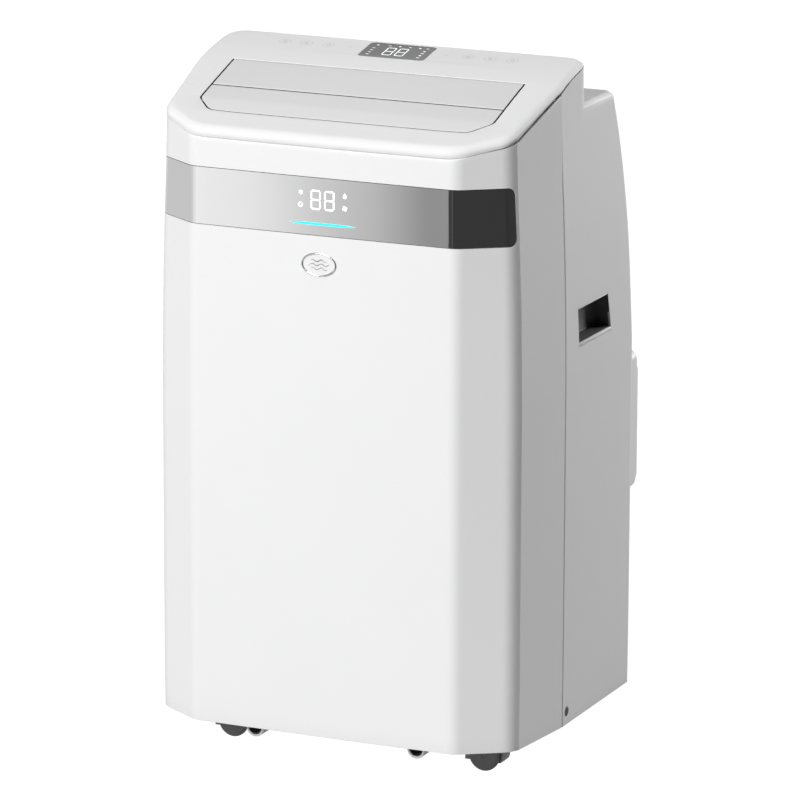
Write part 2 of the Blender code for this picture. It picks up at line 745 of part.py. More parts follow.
# ---------------------------------------------------------------- handles and rear fittings
def build_handles(shop):
    y0, y1 = HANDLE_Y
    z0, z1 = HANDLE_Z
    for side, name in ((-1, "handle_cup_left"), (1, "handle_cup_right")):
        x_out = side * 220.4
        x_in = side * 194.0
        deep = side * 196.0

        def loop(x, grow, lift):
            a0 = y0 - grow
            a1 = y1 + grow
            return [(x, a0, z0 - grow + lift), (x, a1, z0 - grow + lift), (x, a1, z1 + grow), (x, a0, z1 + grow)]

        cup = ring_solid(shop, [loop(x_out, 0.7, 0), loop(side * 218.2, 0.7, 0), loop(x_in, 0.7, 10)])
        shop.cut(cup, ring_solid(shop, [loop(side * 224, -1.2, -2), loop(deep, -1.2, 9.5)]))
        shop.finish(cup, name, "dark_plastic")


def build_grille(shop, name, x0, x1, z0, z1, columns, rows, y_of, hinge):
    """Slatted intake door that follows the back, with its filter held behind it."""
    plate = box(shop, x0, x1, -2.6, 0.0, z0, z1)
    combs = []
    for a, b, _, _, c, d in slots(shop, x0 + 8, x1 - 8, z0 + 10, z1 - 10, columns, rows, bar=5.0):
        combs.append(box(shop, a, b, -6, 4, c, d))
    for comb in combs:
        shop.cut(plate, comb)
    wrap_back(plate, y_of, (479, 525, 569, 603, 638, 675))
    shop.finish(plate, name, "white_plastic", origin=hinge)


def wrap_back(item, y_of, stations):
    body = bmesh.new()
    body.from_mesh(item.data)
    for z in stations:
        geom = body.verts[:] + body.edges[:] + body.faces[:]
        bmesh.ops.bisect_plane(body, geom=geom, dist=1e-6, plane_co=point(0, 0, z), plane_no=(0, 0, 1))
    for v in body.verts:
        v.co.y += y_of(v.co.z * 1000) * 0.001
    bmesh.ops.recalc_face_normals(body, faces=body.faces)
    body.to_mesh(item.data)
    body.free()


def back_y(z):
    return lerp(((440, 334.0),) + REAR_PROFILE, z)


def build_filters(shop):
    build_grille(shop, "upper_intake_grille", -175, 175, 453, 699, 3, 12, back_y, (0, 333.4, 453))
    build_grille(shop, "lower_intake_grille", -191, 35, 177, 423, 2, 12, lambda z: 334.0, (-78, 334.4, 177))
    for name, x0, x1, z0, z1, drop, hinge in (
        ("upper_filter", -168, 168, 462, 690, 4.2, (0, 333.4, 453)),
        ("lower_filter", -184, 28, 186, 414, 4.2, (-78, 334.4, 177)),
    ):
        mesh = box(shop, x0, x1, -1.6, 0, z0, z1)
        wrap_back(mesh, lambda z, d=drop: back_y(z) - d, (479, 525, 569, 603, 638, 675))
        shop.finish(mesh, name, "dark_plastic", origin=hinge)


def build_exhaust(shop):
    house = soft_box(shop, 50, 213.8, REAR_Y + 0.4, 365, 257.5, 416, 12, "y", 5)
    shop.cut(house, soft_box(shop, 54, 209.8, REAR_Y - 5, 361, 261.5, 412, 8, "y", 5))
    shop.cut(house, cylinder(shop, (EXHAUST_X, 350, EXHAUST_Z), "y", 30, EXHAUST_R, 32))
    shop.finish(house, "exhaust_housing", "white_plastic")
    collar = lathe(shop, (EXHAUST_X, 343, EXHAUST_Z), "y", [(0, 69), (22.5, 69), (22.5, 73.5), (26, 73.5), (26, 69),
                                                            (DEPTH - FRONT_PROUD - 343, 68.4)], 32, inner=66)
    shop.finish(collar, "exhaust_collar", "dark_plastic", origin=(EXHAUST_X, 343, EXHAUST_Z))


def build_rear_fittings(shop):
    for name, x, z in (("lower_drain_cap", -60, 118), ("upper_drain_cap", 60, 150)):
        cap = lathe(shop, (x, 320, z), "y", [(0, 6.5), (12, 7.0), (14.2, 9.0)], 16)
        flange = lathe(shop, (x, 334.5, z), "y", [(0, 12), (3, 12), (4, 10.5)], 16)
        link = cylinder(shop, (x, 332, z), "y", 4.5, 8.6, 16)
        shop.join(cap, link)
        shop.join(cap, flange)
        shop.finish(cap, name, "dark_plastic", origin=(x, 334, z))
    gland = lathe(shop, (-150, 326, 120), "y", [(0, 8), (8.4, 8), (8.4, 12), (11.5, 12), (16, 7)], 16)
    shop.cut(gland, cylinder(shop, (-150, 320, 120), "y", 40, 3.4, 12))
    shop.finish(gland, "cord_gland", "dark_plastic")
    for i, (x, z) in enumerate(REAR_SCREWS):
        screw = lathe(shop, (x, 322, z), "y", [(0, 1.8), (12.4, 1.8), (12.4, 4.2), (14, 3.6), (14.8, 2.0)], 10)
        shop.finish(screw, "rear_screw_%d" % (i + 1), "steel")
    for side, name in ((-1, "side_screw_left"), (1, "side_screw_right")):
        start = side * 220.0
        profile = [(0, 3.6), (0.6, 5.2), (1.8, 5.2), (1.8, 2.0), (12, 2.0)]
        screw = lathe(shop, (start, 151.7, 59), "x", [(-side * d, r) for d, r in profile], 14)
        shop.finish(screw, name, "steel")


# ---------------------------------------------------------------- inside
def build_blower_wheel(shop, name, centre, axis, length, radius, slot):
    """Squirrel-cage wheel: toothed drum with a closed disc and hub at one end."""
    cx, cy, cz = centre
    place = {"x": lambda d, a, b: (cx + d, cy + a, cz + b), "y": lambda d, a, b: (cx + a, cy + d, cz + b)}[axis]
    loop = gear(18, radius, radius - 7)
    wheel = ring_solid(shop, [[place(d, a, b) for a, b in loop] for d in (0, length)])
    shop.cut(wheel, cylinder(shop, place(3, 0, 0), axis, length, radius - 12, 24))
    shop.join(wheel, cylinder(shop, place(1, 0, 0), axis, 22, 12, 16))
    shop.cut(wheel, cylinder(shop, place(-5, 0, 0), axis, 40, 4.4, 12))
    shop.finish(wheel, name, slot, origin=centre)


def scroll_loop(cy, cz, radius, direction, steps=20):
    """Spiral casing outline in the y-z plane that opens upwards or backwards."""
    loop = []
    for i in range(steps + 1):
        a = math.radians(300) * i / steps
        r = radius * (1.04 + 0.26 * i / steps)
        t = direction + a
        loop.append((cy + r * math.cos(t), cz + r * math.sin(t)))
    return loop


def build_scroll(shop, name, x0, x1, centre_y, centre_z, radius, outlet, inlet_x, direction):
    loop = scroll_loop(centre_y, centre_z, radius + 6, direction)
    body = ring_solid(shop, [[(x, y, z) for y, z in loop] for x in (x0, x1)])
    shop.join(body, box(shop, x0, x1, *outlet))
    inner = scroll_loop(centre_y, centre_z, radius + 3.5, direction)
    hollow = ring_solid(shop, [[(x, y, z) for y, z in inner] for x in (x0 + 2.5, x1 - 2.5)])
    y0, y1, z0, z1 = outlet
    return body, hollow, (x0 + 2.5, x1 - 2.5, y0, y1, z0, z1)


def build_evaporator(shop):
    coil = comb_block(shop, -176, 176, 246, 274, 452, 690, 14)
    for z in (480, 530, 580, 630):
        shop.join(coil, u_bend(shop, 175, 260, z, 22))
    shop.finish(coil, "evaporator_coil", "fin_aluminium")
    build_blower_wheel(shop, "evaporator_wheel", (-96, BLOWER_Y, BLOWER_Z), "x", 192, 66, "satin_grey")
    body, hollow, _ = build_scroll(shop, "s", -106, 106, BLOWER_Y, BLOWER_Z, 68, (52, 112, 560, 646), 0, 0.3)
    shop.join(hollow, box(shop, -103.5, 103.5, 55, 109, 560, 660))
    shop.cut(body, hollow)
    shop.cut(body, cylinder(shop, (-120, BLOWER_Y, BLOWER_Z), "x", 30, 52, 32))
    shop.cut(body, cylinder(shop, (96, BLOWER_Y, BLOWER_Z), "x", 30, 30, 24))
    shop.finish(body, "evaporator_scroll", "foam_white")
    motor = lathe(shop, (108, BLOWER_Y, BLOWER_Z), "x", [(0, 26), (2, 34), (40, 34), (44, 24)], 24)
    shop.join(motor, cylinder(shop, (-90, BLOWER_Y, BLOWER_Z), "x", 200, 4.0, 12))
    shop.finish(motor, "evaporator_motor", "steel")


def build_condenser(shop):
    coil = comb_block(shop, -190, 34, 290, 318, 178, 420, 10)
    for z in (205, 255, 305, 355):
        shop.join(coil, u_bend(shop, 33, 304, z, 22))
    shop.finish(coil, "condenser_coil", "fin_aluminium")
    build_blower_wheel(shop, "condenser_wheel", (82, COND_Y, COND_Z), "x", 84, 66, "satin_grey")
    body, hollow, _ = build_scroll(shop, "c", 72, 176, COND_Y, COND_Z, 68, (235, 322, 290, 392), 0, -1.2)
    shop.join(hollow, box(shop, 74.5, 173.5, 225, 330, 292.5, 389.5))
    shop.cut(body, hollow)
    shop.cut(body, cylinder(shop, (60, COND_Y, COND_Z), "x", 30, 52, 32))
    shop.cut(body, cylinder(shop, (165, COND_Y, COND_Z), "x", 30, 26, 24))
    shop.finish(body, "condenser_scroll", "inner_plastic")
    motor = lathe(shop, (178, COND_Y, COND_Z), "x", [(0, 24), (2, 30), (24, 30), (27, 20)], 24)
    shop.join(motor, cylinder(shop, (86, COND_Y, COND_Z), "x", 95, 4.0, 12))
    shop.finish(motor, "condenser_motor", "steel")


def comb_block(shop, x0, x1, y0, y1, z0, z1, fins):
    """Fin pack: comb-shaped front and back."""
    loop = []
    pitch = (x1 - x0) / fins
    for i in range(fins):
        x = x0 + i * pitch
        loop += [(x, y0), (x + pitch * 0.5, y0), (x + pitch * 0.5, y0 + 2.5), (x + pitch, y0 + 2.5)]
    loop += [(x1, y1)]
    loop += [(x0, y1)]
    return ring_solid(shop, [[(x, y, z0) for x, y in loop], [(x, y, z1) for x, y in loop]])


def u_bend(shop, x, y, z, gap):
    path = bend_path([(x, y, z), (x + 10, y, z), (x + 10, y, z + gap), (x, y, z + gap)], 8, 3)
    return pipe(shop, path, 3.6, 8)


def build_compressor(shop):
    plate = round_loop([(-165, 150, 10), (-34, 150, 10), (-34, 228, 10), (-66, 268, 10), (-122, 262, 10)], 2)
    mount = ring_solid(shop, [[(x, y, z) for x, y in plate] for z in (50, 54)])
    for x, y in ((-150, 165), (-46, 165), (-90, 252)):
        shop.join(mount, lathe(shop, (x, y, 48.3), "z", [(0, 8), (3, 8), (3, 6), (8, 6)], 16))
    shop.finish(mount, "compressor_mount", "rubber")
    can = lathe(shop, (-95, 207, 56.4), "z", [(0, 40), (6, 56), (14, 58), (150, 58), (166, 54), (180, 40), (186, 18)],
                32)
    shop.join(can, cylinder(shop, (-95, 207, 236), "z", 12, 9, 14))
    shop.finish(can, "compressor", "black_paint")
    tank = lathe(shop, (-176, 160, 90), "z", [(0, 8), (8, 20), (14, 22), (110, 22), (118, 16), (124, 6)], 20)
    shop.finish(tank, "accumulator", "black_paint")
    out = bend_path([(-95, 207, 248.6), (-95, 207, 285), (-20, 207, 285), (-20, 280, 285)], 14)
    shop.finish(pipe(shop, out, 4.0), "discharge_pipe", "copper")
    back = bend_path([(-176, 160, 214.5), (-176, 160, 300), (-176, 230, 300), (-176, 230, 418)], 16)
    shop.finish(pipe(shop, back, 5.0), "suction_pipe", "copper")
    drier = lathe(shop, (15, 262, 300), "z", [(0, 3), (8, 3), (14, 9), (60, 9), (66, 3), (104, 3), (118, 3)], 14)
    shop.finish(drier, "filter_drier", "copper")


def build_bulkhead(shop):
    deck = ring_solid(shop, [inner_loop(3.6, 426), inner_loop(3.6, 440)])
    shop.cut(deck, ring_solid(shop, [inner_loop(6.6, 429), inner_loop(6.6, 460)]))
    shop.finish(deck, "drip_tray", "foam_white")


def build_slinger(shop):
    motor = lathe(shop, (0, 222, 86), "y", [(0, 14), (3, 17), (34, 17), (37, 10), (37, 2.5), (52, 2.5)], 20)
    shop.finish(motor, "slinger_motor", "steel")
    loop = gear(14, 24, 18, 0.5)
    wheel = ring_solid(shop, [[(a, y, 86 + b) for a, b in loop] for y in (264, 272)])
    shop.cut(wheel, cylinder(shop, (0, 255, 86), "y", 30, 3.0, 12))
    shop.finish(wheel, "slinger_wheel", "satin_grey", origin=(0, 268, 86))


def build_controls(shop):
    case = soft_box(shop, -190, -70, 34, 84, 300, 404, 4, "y")
    shop.join(case, box(shop, -182, -78, 30, 36, 308, 396))
    shop.finish(case, "control_box", "steel")
    a, b = LENS_Y
    board = box(shop, -150, 150, a + 6, b - 2, 738.5, 740.2)
    for x in (-133, -108, -82, -57, 57, 82, 108, 133):
        shop.join(board, cylinder(shop, (x, 192, 740), "z", 6, 5, 12))
    shop.finish(board, "control_board", "board_green")


# ---------------------------------------------------------------- assembly
def build():
    clear_scene()
    shop = Shop()
    build_front_panel(shop)
    build_band(shop)
    build_front_display(shop)
    build_rear_cover(shop)
    build_top_cover(shop)
    build_outlet(shop)
    build_base(shop)
    for y, where in zip(CASTOR_Y, ("front", "rear")):
        for side, hand in ((-1, "left"), (1, "right")):
            build_castor(shop, side, y, where + "_" + hand)
    build_handles(shop)
    build_filters(shop)
    build_exhaust(shop)
    build_rear_fittings(shop)
    build_evaporator(shop)
    build_condenser(shop)
    build_compressor(shop)
    build_bulkhead(shop)
    build_slinger(shop)
    build_controls(shop)


build()
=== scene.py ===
"""Looks of the portable air conditioner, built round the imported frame.

Shapes are drawn in local millimetres: x to the viewer's right, y backwards from the flat of the
front panel, z up from the floor. P() turns them into the frame's metres.
"""

import math
from bisect import bisect_right
from contextlib import contextmanager
from functools import lru_cache

import bmesh
import bpy
from mathutils import Matrix, Vector


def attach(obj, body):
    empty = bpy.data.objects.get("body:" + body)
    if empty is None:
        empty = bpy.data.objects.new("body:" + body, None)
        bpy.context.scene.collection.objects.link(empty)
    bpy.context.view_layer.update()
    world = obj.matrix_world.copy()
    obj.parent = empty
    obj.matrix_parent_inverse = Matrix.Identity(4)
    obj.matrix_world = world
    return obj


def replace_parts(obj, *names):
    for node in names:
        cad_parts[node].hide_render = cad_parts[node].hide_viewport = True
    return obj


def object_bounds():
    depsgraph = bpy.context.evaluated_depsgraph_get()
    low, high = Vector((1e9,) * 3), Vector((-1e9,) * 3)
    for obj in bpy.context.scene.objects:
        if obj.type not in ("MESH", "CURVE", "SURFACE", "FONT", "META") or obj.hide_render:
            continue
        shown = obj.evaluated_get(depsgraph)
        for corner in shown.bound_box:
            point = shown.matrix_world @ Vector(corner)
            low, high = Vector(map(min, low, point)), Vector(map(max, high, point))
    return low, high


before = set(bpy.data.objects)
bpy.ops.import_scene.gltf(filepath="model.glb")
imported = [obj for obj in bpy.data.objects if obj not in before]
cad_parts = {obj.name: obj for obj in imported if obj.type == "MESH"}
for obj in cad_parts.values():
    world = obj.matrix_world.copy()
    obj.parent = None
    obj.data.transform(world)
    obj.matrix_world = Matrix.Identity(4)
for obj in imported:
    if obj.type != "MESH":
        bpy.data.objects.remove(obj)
CAD_LOW, CAD_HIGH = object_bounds()

# ---- dimensions, mm
MM = 0.001
BADGE_PROUD = 2.4
Y_SHIFT = -CAD_LOW.y / MM - BADGE_PROUD
BOW = 1.2
KINK_X, KINK_R = 153.0, 25.0
CREASE = 13.0
CORNER_X, CORNER_Y, CORNER_R = 209.5, 35.8, 28.0
SEAM_X, SEAM_Y = 221.0, 139.5
REAR_Y, REAR_R = 334.0, 8.0
SHELL = 2.5
EASE = 0.7
WELD = 0.02
PANEL_Z0 = 44.0
BAND_Z0, BAND_Z1, BAND_R = 595.0, 657.5, 8.5
BOX_TOP_Z = 718.0
TOWER_Y, TOWER_R = 222.0, 25.0
RIM, COVER_T = 10.0, 3.2
LOUVRE_X = 169.2
LOUVRE_Y = (36.2, 85.2, 139.8)
PIVOT_DROP = 6.0
LENS_X = 38.6
LENS_Y = (171.5, 211.7)
WHEEL_R, TRAIL = 17.5, 12.0
HOOD_R, HOOD_HALF, HOOD_CUT = 19.5, 11.8, 9.0
CASTOR_X = 138.0
CASTOR_Y = (106.7, 285.0)
SOCKET_X = {"left": -96.9, "right": 94.3}
SOCKET_Z = 32.6
HANDLE_Z = (462.7, 500.0)
HANDLE_FRONT = (177.0, 174.0)
HANDLE_BACK = (267.0, 258.0)
EXHAUST_X, EXHAUST_Z = 131.0, 339.0
SCREWS = ((-200, 80), (200, 80), (-205, 450), (205, 450))
LOWER_DRAIN, UPPER_DRAIN, GLAND = (-60, 118), (60, 150), (-150, 120)

TAPER = ((44, 0.4), (120, 0.0), (410, 0.0), (497, 1.0), (583, 3.4), (670, 6.9), (720, 8.5), (780, 9.5))
REAR_PROFILE = ((440, 334.0), (479, 331.0), (525, 328.0), (569, 324.0), (603, 319.0), (638, 313.0),
                (675, 304.0), (700, 296.0), (711, 292.0), (720, 288.5))
TOP_PROFILE = ((-3, 699.0), (36, 712.0), (60, 720.5), (85, 729.0), (112, 738.0), (140, 747.0),
               (171.5, 755.8), (192, 760.0), (211.7, 763.6), (222, 765.0), (240, 767.0))

PIECES = bpy.data.collections.new("looks")
bpy.context.scene.collection.children.link(PIECES)


# ---- curves and tables
def P(x, y, z):
    return Vector((x * MM, (y - Y_SHIFT) * MM, z * MM))


def smooth_table(table):
    """Monotone cubic reading of a table of (position, value)."""
    xs = [a for a, _ in table]
    ys = [b for _, b in table]
    rise = [(d - c) / (b - a) for a, b, c, d in zip(xs, xs[1:], ys, ys[1:])]
    slope = [rise[0]]
    for a, b in zip(rise, rise[1:]):
        slope.append(0.0 if a * b <= 0 else 2 * a * b / (a + b))
    slope.append(rise[-1])

    def read(x):
        if x <= xs[0]:
            return ys[0]
        if x >= xs[-1]:
            return ys[-1]
        i = bisect_right(xs, x) - 1
        h = xs[i + 1] - xs[i]
        t = (x - xs[i]) / h
        a = (1 + 2 * t) * (1 - t) ** 2 * ys[i] + t * t * (3 - 2 * t) * ys[i + 1]
        return a + t * (1 - t) ** 2 * h * slope[i] + t * t * (t - 1) * h * slope[i + 1]

    return read


taper = smooth_table(TAPER)
top_z = smooth_table(TOP_PROFILE)
back_table = smooth_table(REAR_PROFILE)


def back_y(z):
    return REAR_Y if z <= 440 else back_table(z)


def rim_height(y):
    return RIM * (1.0 - 0.6 * max(0.0, min(1.0, y / TOWER_Y)))


def split_z(y):
    return top_z(y) - rim_height(y)


def steps(a, b, count):
    return [a + (b - a) * i / count for i in range(count + 1)]


def packed(a, b, count):
    """Values from a to b that crowd together at both ends."""
    return [a + (b - a) * (1 - math.cos(math.pi * i / count)) / 2 for i in range(count + 1)]


def quarter(count):
    """Quarter round of unit size, as (1 - cosine, 1 - sine) pairs."""
    return [(1 - math.cos(t), 1 - math.sin(t)) for t in steps(0, math.pi / 2, count)]


def arc(before, here, after, radius, count):
    """Points of an arc of that radius tangent to both sides of a corner."""
    p = Vector(here)
    u = (Vector(before) - p).normalized()
    v = (Vector(after) - p).normalized()
    half = math.acos(max(-1.0, min(1.0, u.dot(v)))) / 2
    reach = radius / math.tan(half)
    middle = p + (u + v).normalized() * (radius / math.sin(half))
    start = p + u * reach - middle
    end = p + v * reach - middle
    turn = math.atan2(start.x * end.y - start.y * end.x, start.dot(end))
    points = []
    for i in range(count + 1):
        angle = turn * i / count
        c, s = math.cos(angle), math.sin(angle)
        points.append((middle.x + start.x * c - start.y * s, middle.y + start.x * s + start.y * c))
    return points


def rounded(corners, count=4):
    """Closed loop of (x, y, radius) corners."""
    loop = []
    for i, (x, y, radius) in enumerate(corners):
        if radius <= 0:
            loop.append((x, y))
        else:
            loop += arc(corners[i - 1][:2], (x, y), corners[(i + 1) % len(corners)][:2], radius, count)
    return loop


def moved_corner(spot, first, second, inset):
    """Corner of two straight runs after both are moved inwards."""
    n1 = Vector((-first.y, first.x))
    n2 = Vector((-second.y, second.x))
    blend = (n1 + n2) / (1 + n1.dot(n2))
    return Vector((spot[0] + blend.x * inset, spot[1] + blend.y * inset))


NOSE_SLOPE = 2 * BOW / (KINK_X + 7.3)


def creased(bend, after, turn):
    """Arc whose last stretch, of that many degrees, runs straight on to a crease in the line after it."""
    line = (Vector(after) - Vector(bend[-1])).normalized()
    k = len(bend) - 1
    while k > 1 and (Vector(bend[k]) - Vector(bend[k - 1])).angle(line) < math.radians(turn):
        k -= 1
    here = Vector(bend[k])
    ahead = (here - Vector(bend[k - 1])).normalized()
    gap = Vector(bend[-1]) - here
    reach = (gap.x * line.y - gap.y * line.x) / (ahead.x * line.y - ahead.y * line.x)
    spot = here + ahead * reach
    return bend[:k + 1] + [tuple(here.lerp(spot, 0.8)), tuple(spot)]


def half_outline(corners, radii, inset, fine):
    """Open path from the nose through corners moved inwards: arcs, and straights with packed ends."""
    runs = [Vector((1.0, NOSE_SLOPE)).normalized()]
    runs += [(Vector(b) - Vector(a)).normalized() for a, b in zip(corners[1:], corners[2:])]
    moved = []
    for i in range(1, len(corners) - 1):
        moved.append(moved_corner(corners[i], runs[i - 1], runs[i], inset))
    last = runs[-1]
    tail = Vector(corners[-1]) + Vector((-last.y, last.x)) * inset
    moved.append(tail)
    path = []
    here = moved[0] - runs[0] * 60
    for i in range(len(moved) - 1):
        radius = radii[i + 1]
        if radius:
            bend = arc(here, moved[i], moved[i + 1], max(radius - inset, 2.0), fine)
            if i == 1:
                bend = creased(bend, moved[i + 1], CREASE)
        else:
            bend = [tuple(moved[i])]
        if i == 0:
            x1, y1 = bend[0]
            for k in range(fine * 2):
                x = x1 * math.sin(math.pi / 2 * k / (fine * 2))
                path.append((x, inset - BOW + (y1 - inset + BOW) * (x / x1) ** 2))
        else:
            start = Vector(path.pop())
            for f in packed(0, 1, fine)[:-1]:
                path.append(tuple(start.lerp(Vector(bend[0]), f)))
        path += bend
        here = Vector(bend[-1])
    start = Vector(path.pop())
    for f in packed(0, 1, fine):
        path.append(tuple(start.lerp(moved[-1], f)))
    return path


@lru_cache(maxsize=None)
def plan(z, inset, fine=10):
    """Right half of the cabinet's front outline at height z, from the nose to the seam."""
    t = taper(z)
    corners = [(0, -BOW), (KINK_X, 0), (CORNER_X - t, CORNER_Y), (SEAM_X - t, SEAM_Y)]
    return half_outline(corners, (0, KINK_R, CORNER_R), inset, fine)


# ---- mesh making
def shade(obj, angle=30.0):
    obj.data.shade_smooth()
    obj.data.set_sharp_from_angle(angle=math.radians(angle))
    return obj


@contextmanager
def editing(mesh):
    """Opens a mesh for editing and writes it back."""
    body = bmesh.new()
    body.from_mesh(mesh)
    yield body
    body.to_mesh(mesh)
    body.free()


def make(name, verts, faces, look=None, angle=30.0):
    """Object from local millimetre vertices, its faces turned outwards."""
    data = bpy.data.meshes.new(name)
    data.from_pydata([P(*v) for v in verts], [], faces)
    with editing(data) as body:
        bmesh.ops.recalc_face_normals(body, faces=body.faces)
    obj = bpy.data.objects.new(name, data)
    PIECES.objects.link(obj)
    if look is not None:
        paint(obj, look)
    return shade(obj, angle)


def paint(obj, look):
    obj.data.materials.clear()
    obj.data.materials.append(LOOKS[look])


def ring_faces(levels, count, start, closed):
    """Faces between rings of points: capped at both ends, or closed back to the first ring."""
    faces = []
    for level in range(levels if closed else levels - 1):
        a = start + level * count
        b = start + (level + 1) % levels * count
        for i in range(count):
            j = (i + 1) % count
            faces.append((a + i, a + j, b + j, b + i))
    if not closed:
        faces.append(tuple(start + i for i in reversed(range(count))))
        faces.append(tuple(start + (levels - 1) * count + i for i in range(count)))
    return faces


def many_solids(name, stacks, look=None, angle=30.0, closed=False):
    """One object of several separate ring solids."""
    verts = []
    faces = []
    for rings in stacks:
        faces += ring_faces(len(rings), len(rings[0]), len(verts), closed)
        verts += [p for ring in rings for p in ring]
    return make(name, verts, faces, look, angle)


def ring_solid(name, rings, look=None, angle=30.0, closed=False):
    return many_solids(name, [rings], look, angle, closed)


def at_depths(loop, *depths):
    """Rings of a flat loop at several depths."""
    return [[(x, y, depth) for x, y in loop] for depth in depths]


def box_rings(x0, x1, y0, y1, z0, z1):
    return [[(x0, y0, z), (x1, y0, z), (x1, y1, z), (x0, y1, z)] for z in (z0, z1)]


def on_axis(axis, a, b, c):
    """Point with c along the axis, and a and b across it."""
    return {"x": (c, a, b), "y": (a, c, b), "z": (a, b, c)}[axis]


def soft_rings(a0, a1, b0, b1, c0, c1, radius, axis="y", count=6, edge=0.0):
    """Rings of a box rounded along one axis, and with its c1 rim eased by edge."""
    def loop(inset):
        r = max(radius - inset, 0.05)
        return rounded([(a0 + inset, b0 + inset, r), (a1 - inset, b0 + inset, r),
                        (a1 - inset, b1 - inset, r), (a0 + inset, b1 - inset, r)], count)

    way = 1 if c1 > c0 else -1
    levels = [(c0, 0.0)]
    if edge:
        levels += [(c1 - way * edge * rise, edge * run) for run, rise in quarter(4)]
    else:
        levels.append((c1, 0.0))
    return [[on_axis(axis, a, b, c) for a, b in loop(inset)] for c, inset in levels]


def turned_rings(centre, axis, profile, sides=48):
    """Rings of a turned shape; the profile gives (distance along the axis, radius)."""
    rings = []
    for d, r in profile:
        around = [on_axis(axis, a, b, d) for a, b in oval(0, 0, r, r, sides)]
        rings.append([tuple(c + p for c, p in zip(centre, point)) for point in around])
    return rings


def turned(name, centre, axis, profile, look=None, sides=48, bore=False):
    """Turned piece; with bore the profile is a closed section round the axis."""
    return ring_solid(name, turned_rings(centre, axis, profile, sides), look, closed=bore)


def eased(points, radius, count=3):
    """Turned profile with its inner corners rounded."""
    path = [points[0]]
    for a, b, c in zip(points, points[1:], points[2:]):
        ra = min(radius, 0.45 * (Vector(a) - Vector(b)).length, 0.45 * (Vector(c) - Vector(b)).length)
        u = (Vector(a) - Vector(b)).normalized()
        v = (Vector(c) - Vector(b)).normalized()
        half = math.acos(max(-1.0, min(1.0, u.dot(v)))) / 2
        if half < 0.1 or half > 1.5:
            path.append(b)
        else:
            path += arc(a, b, c, ra * math.tan(half), count)
    path.append(points[-1])
    return path


def apply(obj):
    """Turns an object's modifiers into mesh."""
    bpy.context.view_layer.update()
    graph = bpy.context.evaluated_depsgraph_get()
    fresh = bpy.data.meshes.new_from_object(obj.evaluated_get(graph))
    obj.modifiers.clear()
    old = obj.data
    obj.data = fresh
    bpy.data.meshes.remove(old)
    return obj


def combine(base, other, operation="DIFFERENCE"):
    mod = base.modifiers.new("combine", "BOOLEAN")
    mod.operation = operation
    mod.solver = "EXACT"
    mod.object = other
    apply(base)
    bpy.data.objects.remove(other, do_unlink=True)
    with editing(base.data) as body:
        bmesh.ops.remove_doubles(body, verts=body.verts, dist=WELD * MM)
        bmesh.ops.dissolve_degenerate(body, edges=body.edges, dist=WELD * MM)
    return base


def cut(base, *stacks):
    """Takes ring solids out of a piece."""
    combine(base, many_solids("cutter", stacks))


def join(base, rings):
    combine(base, ring_solid("joined", rings), "UNION")


def warped(obj, stations, axis, move):
    """Cuts a piece across an axis at every station, then moves each of its points."""
    with editing(obj.data) as body:
        for spot in stations:
            geom = body.verts[:] + body.edges[:] + body.faces[:]
            where = P(*(spot * a for a in axis))
            bmesh.ops.bisect_plane(body, geom=geom, dist=1e-7, plane_co=where, plane_no=axis)
        for v in body.verts:
            move(v.co)
    return shade(obj)


def soften(obj, width, count=2, angle=50.0):
    mod = obj.modifiers.new("soften", "BEVEL")
    mod.width = width * MM
    mod.segments = count
    mod.limit_method = "ANGLE"
    mod.angle_limit = math.radians(angle)
    mod.use_clamp_overlap = True
    return apply(obj)


def settle(obj, body, slot, *nodes):
    """Puts a piece on its body and says which CAD nodes it stands for; the slot argument is not used."""
    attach(obj, body)
    if nodes:
        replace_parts(obj, *nodes)
    return obj


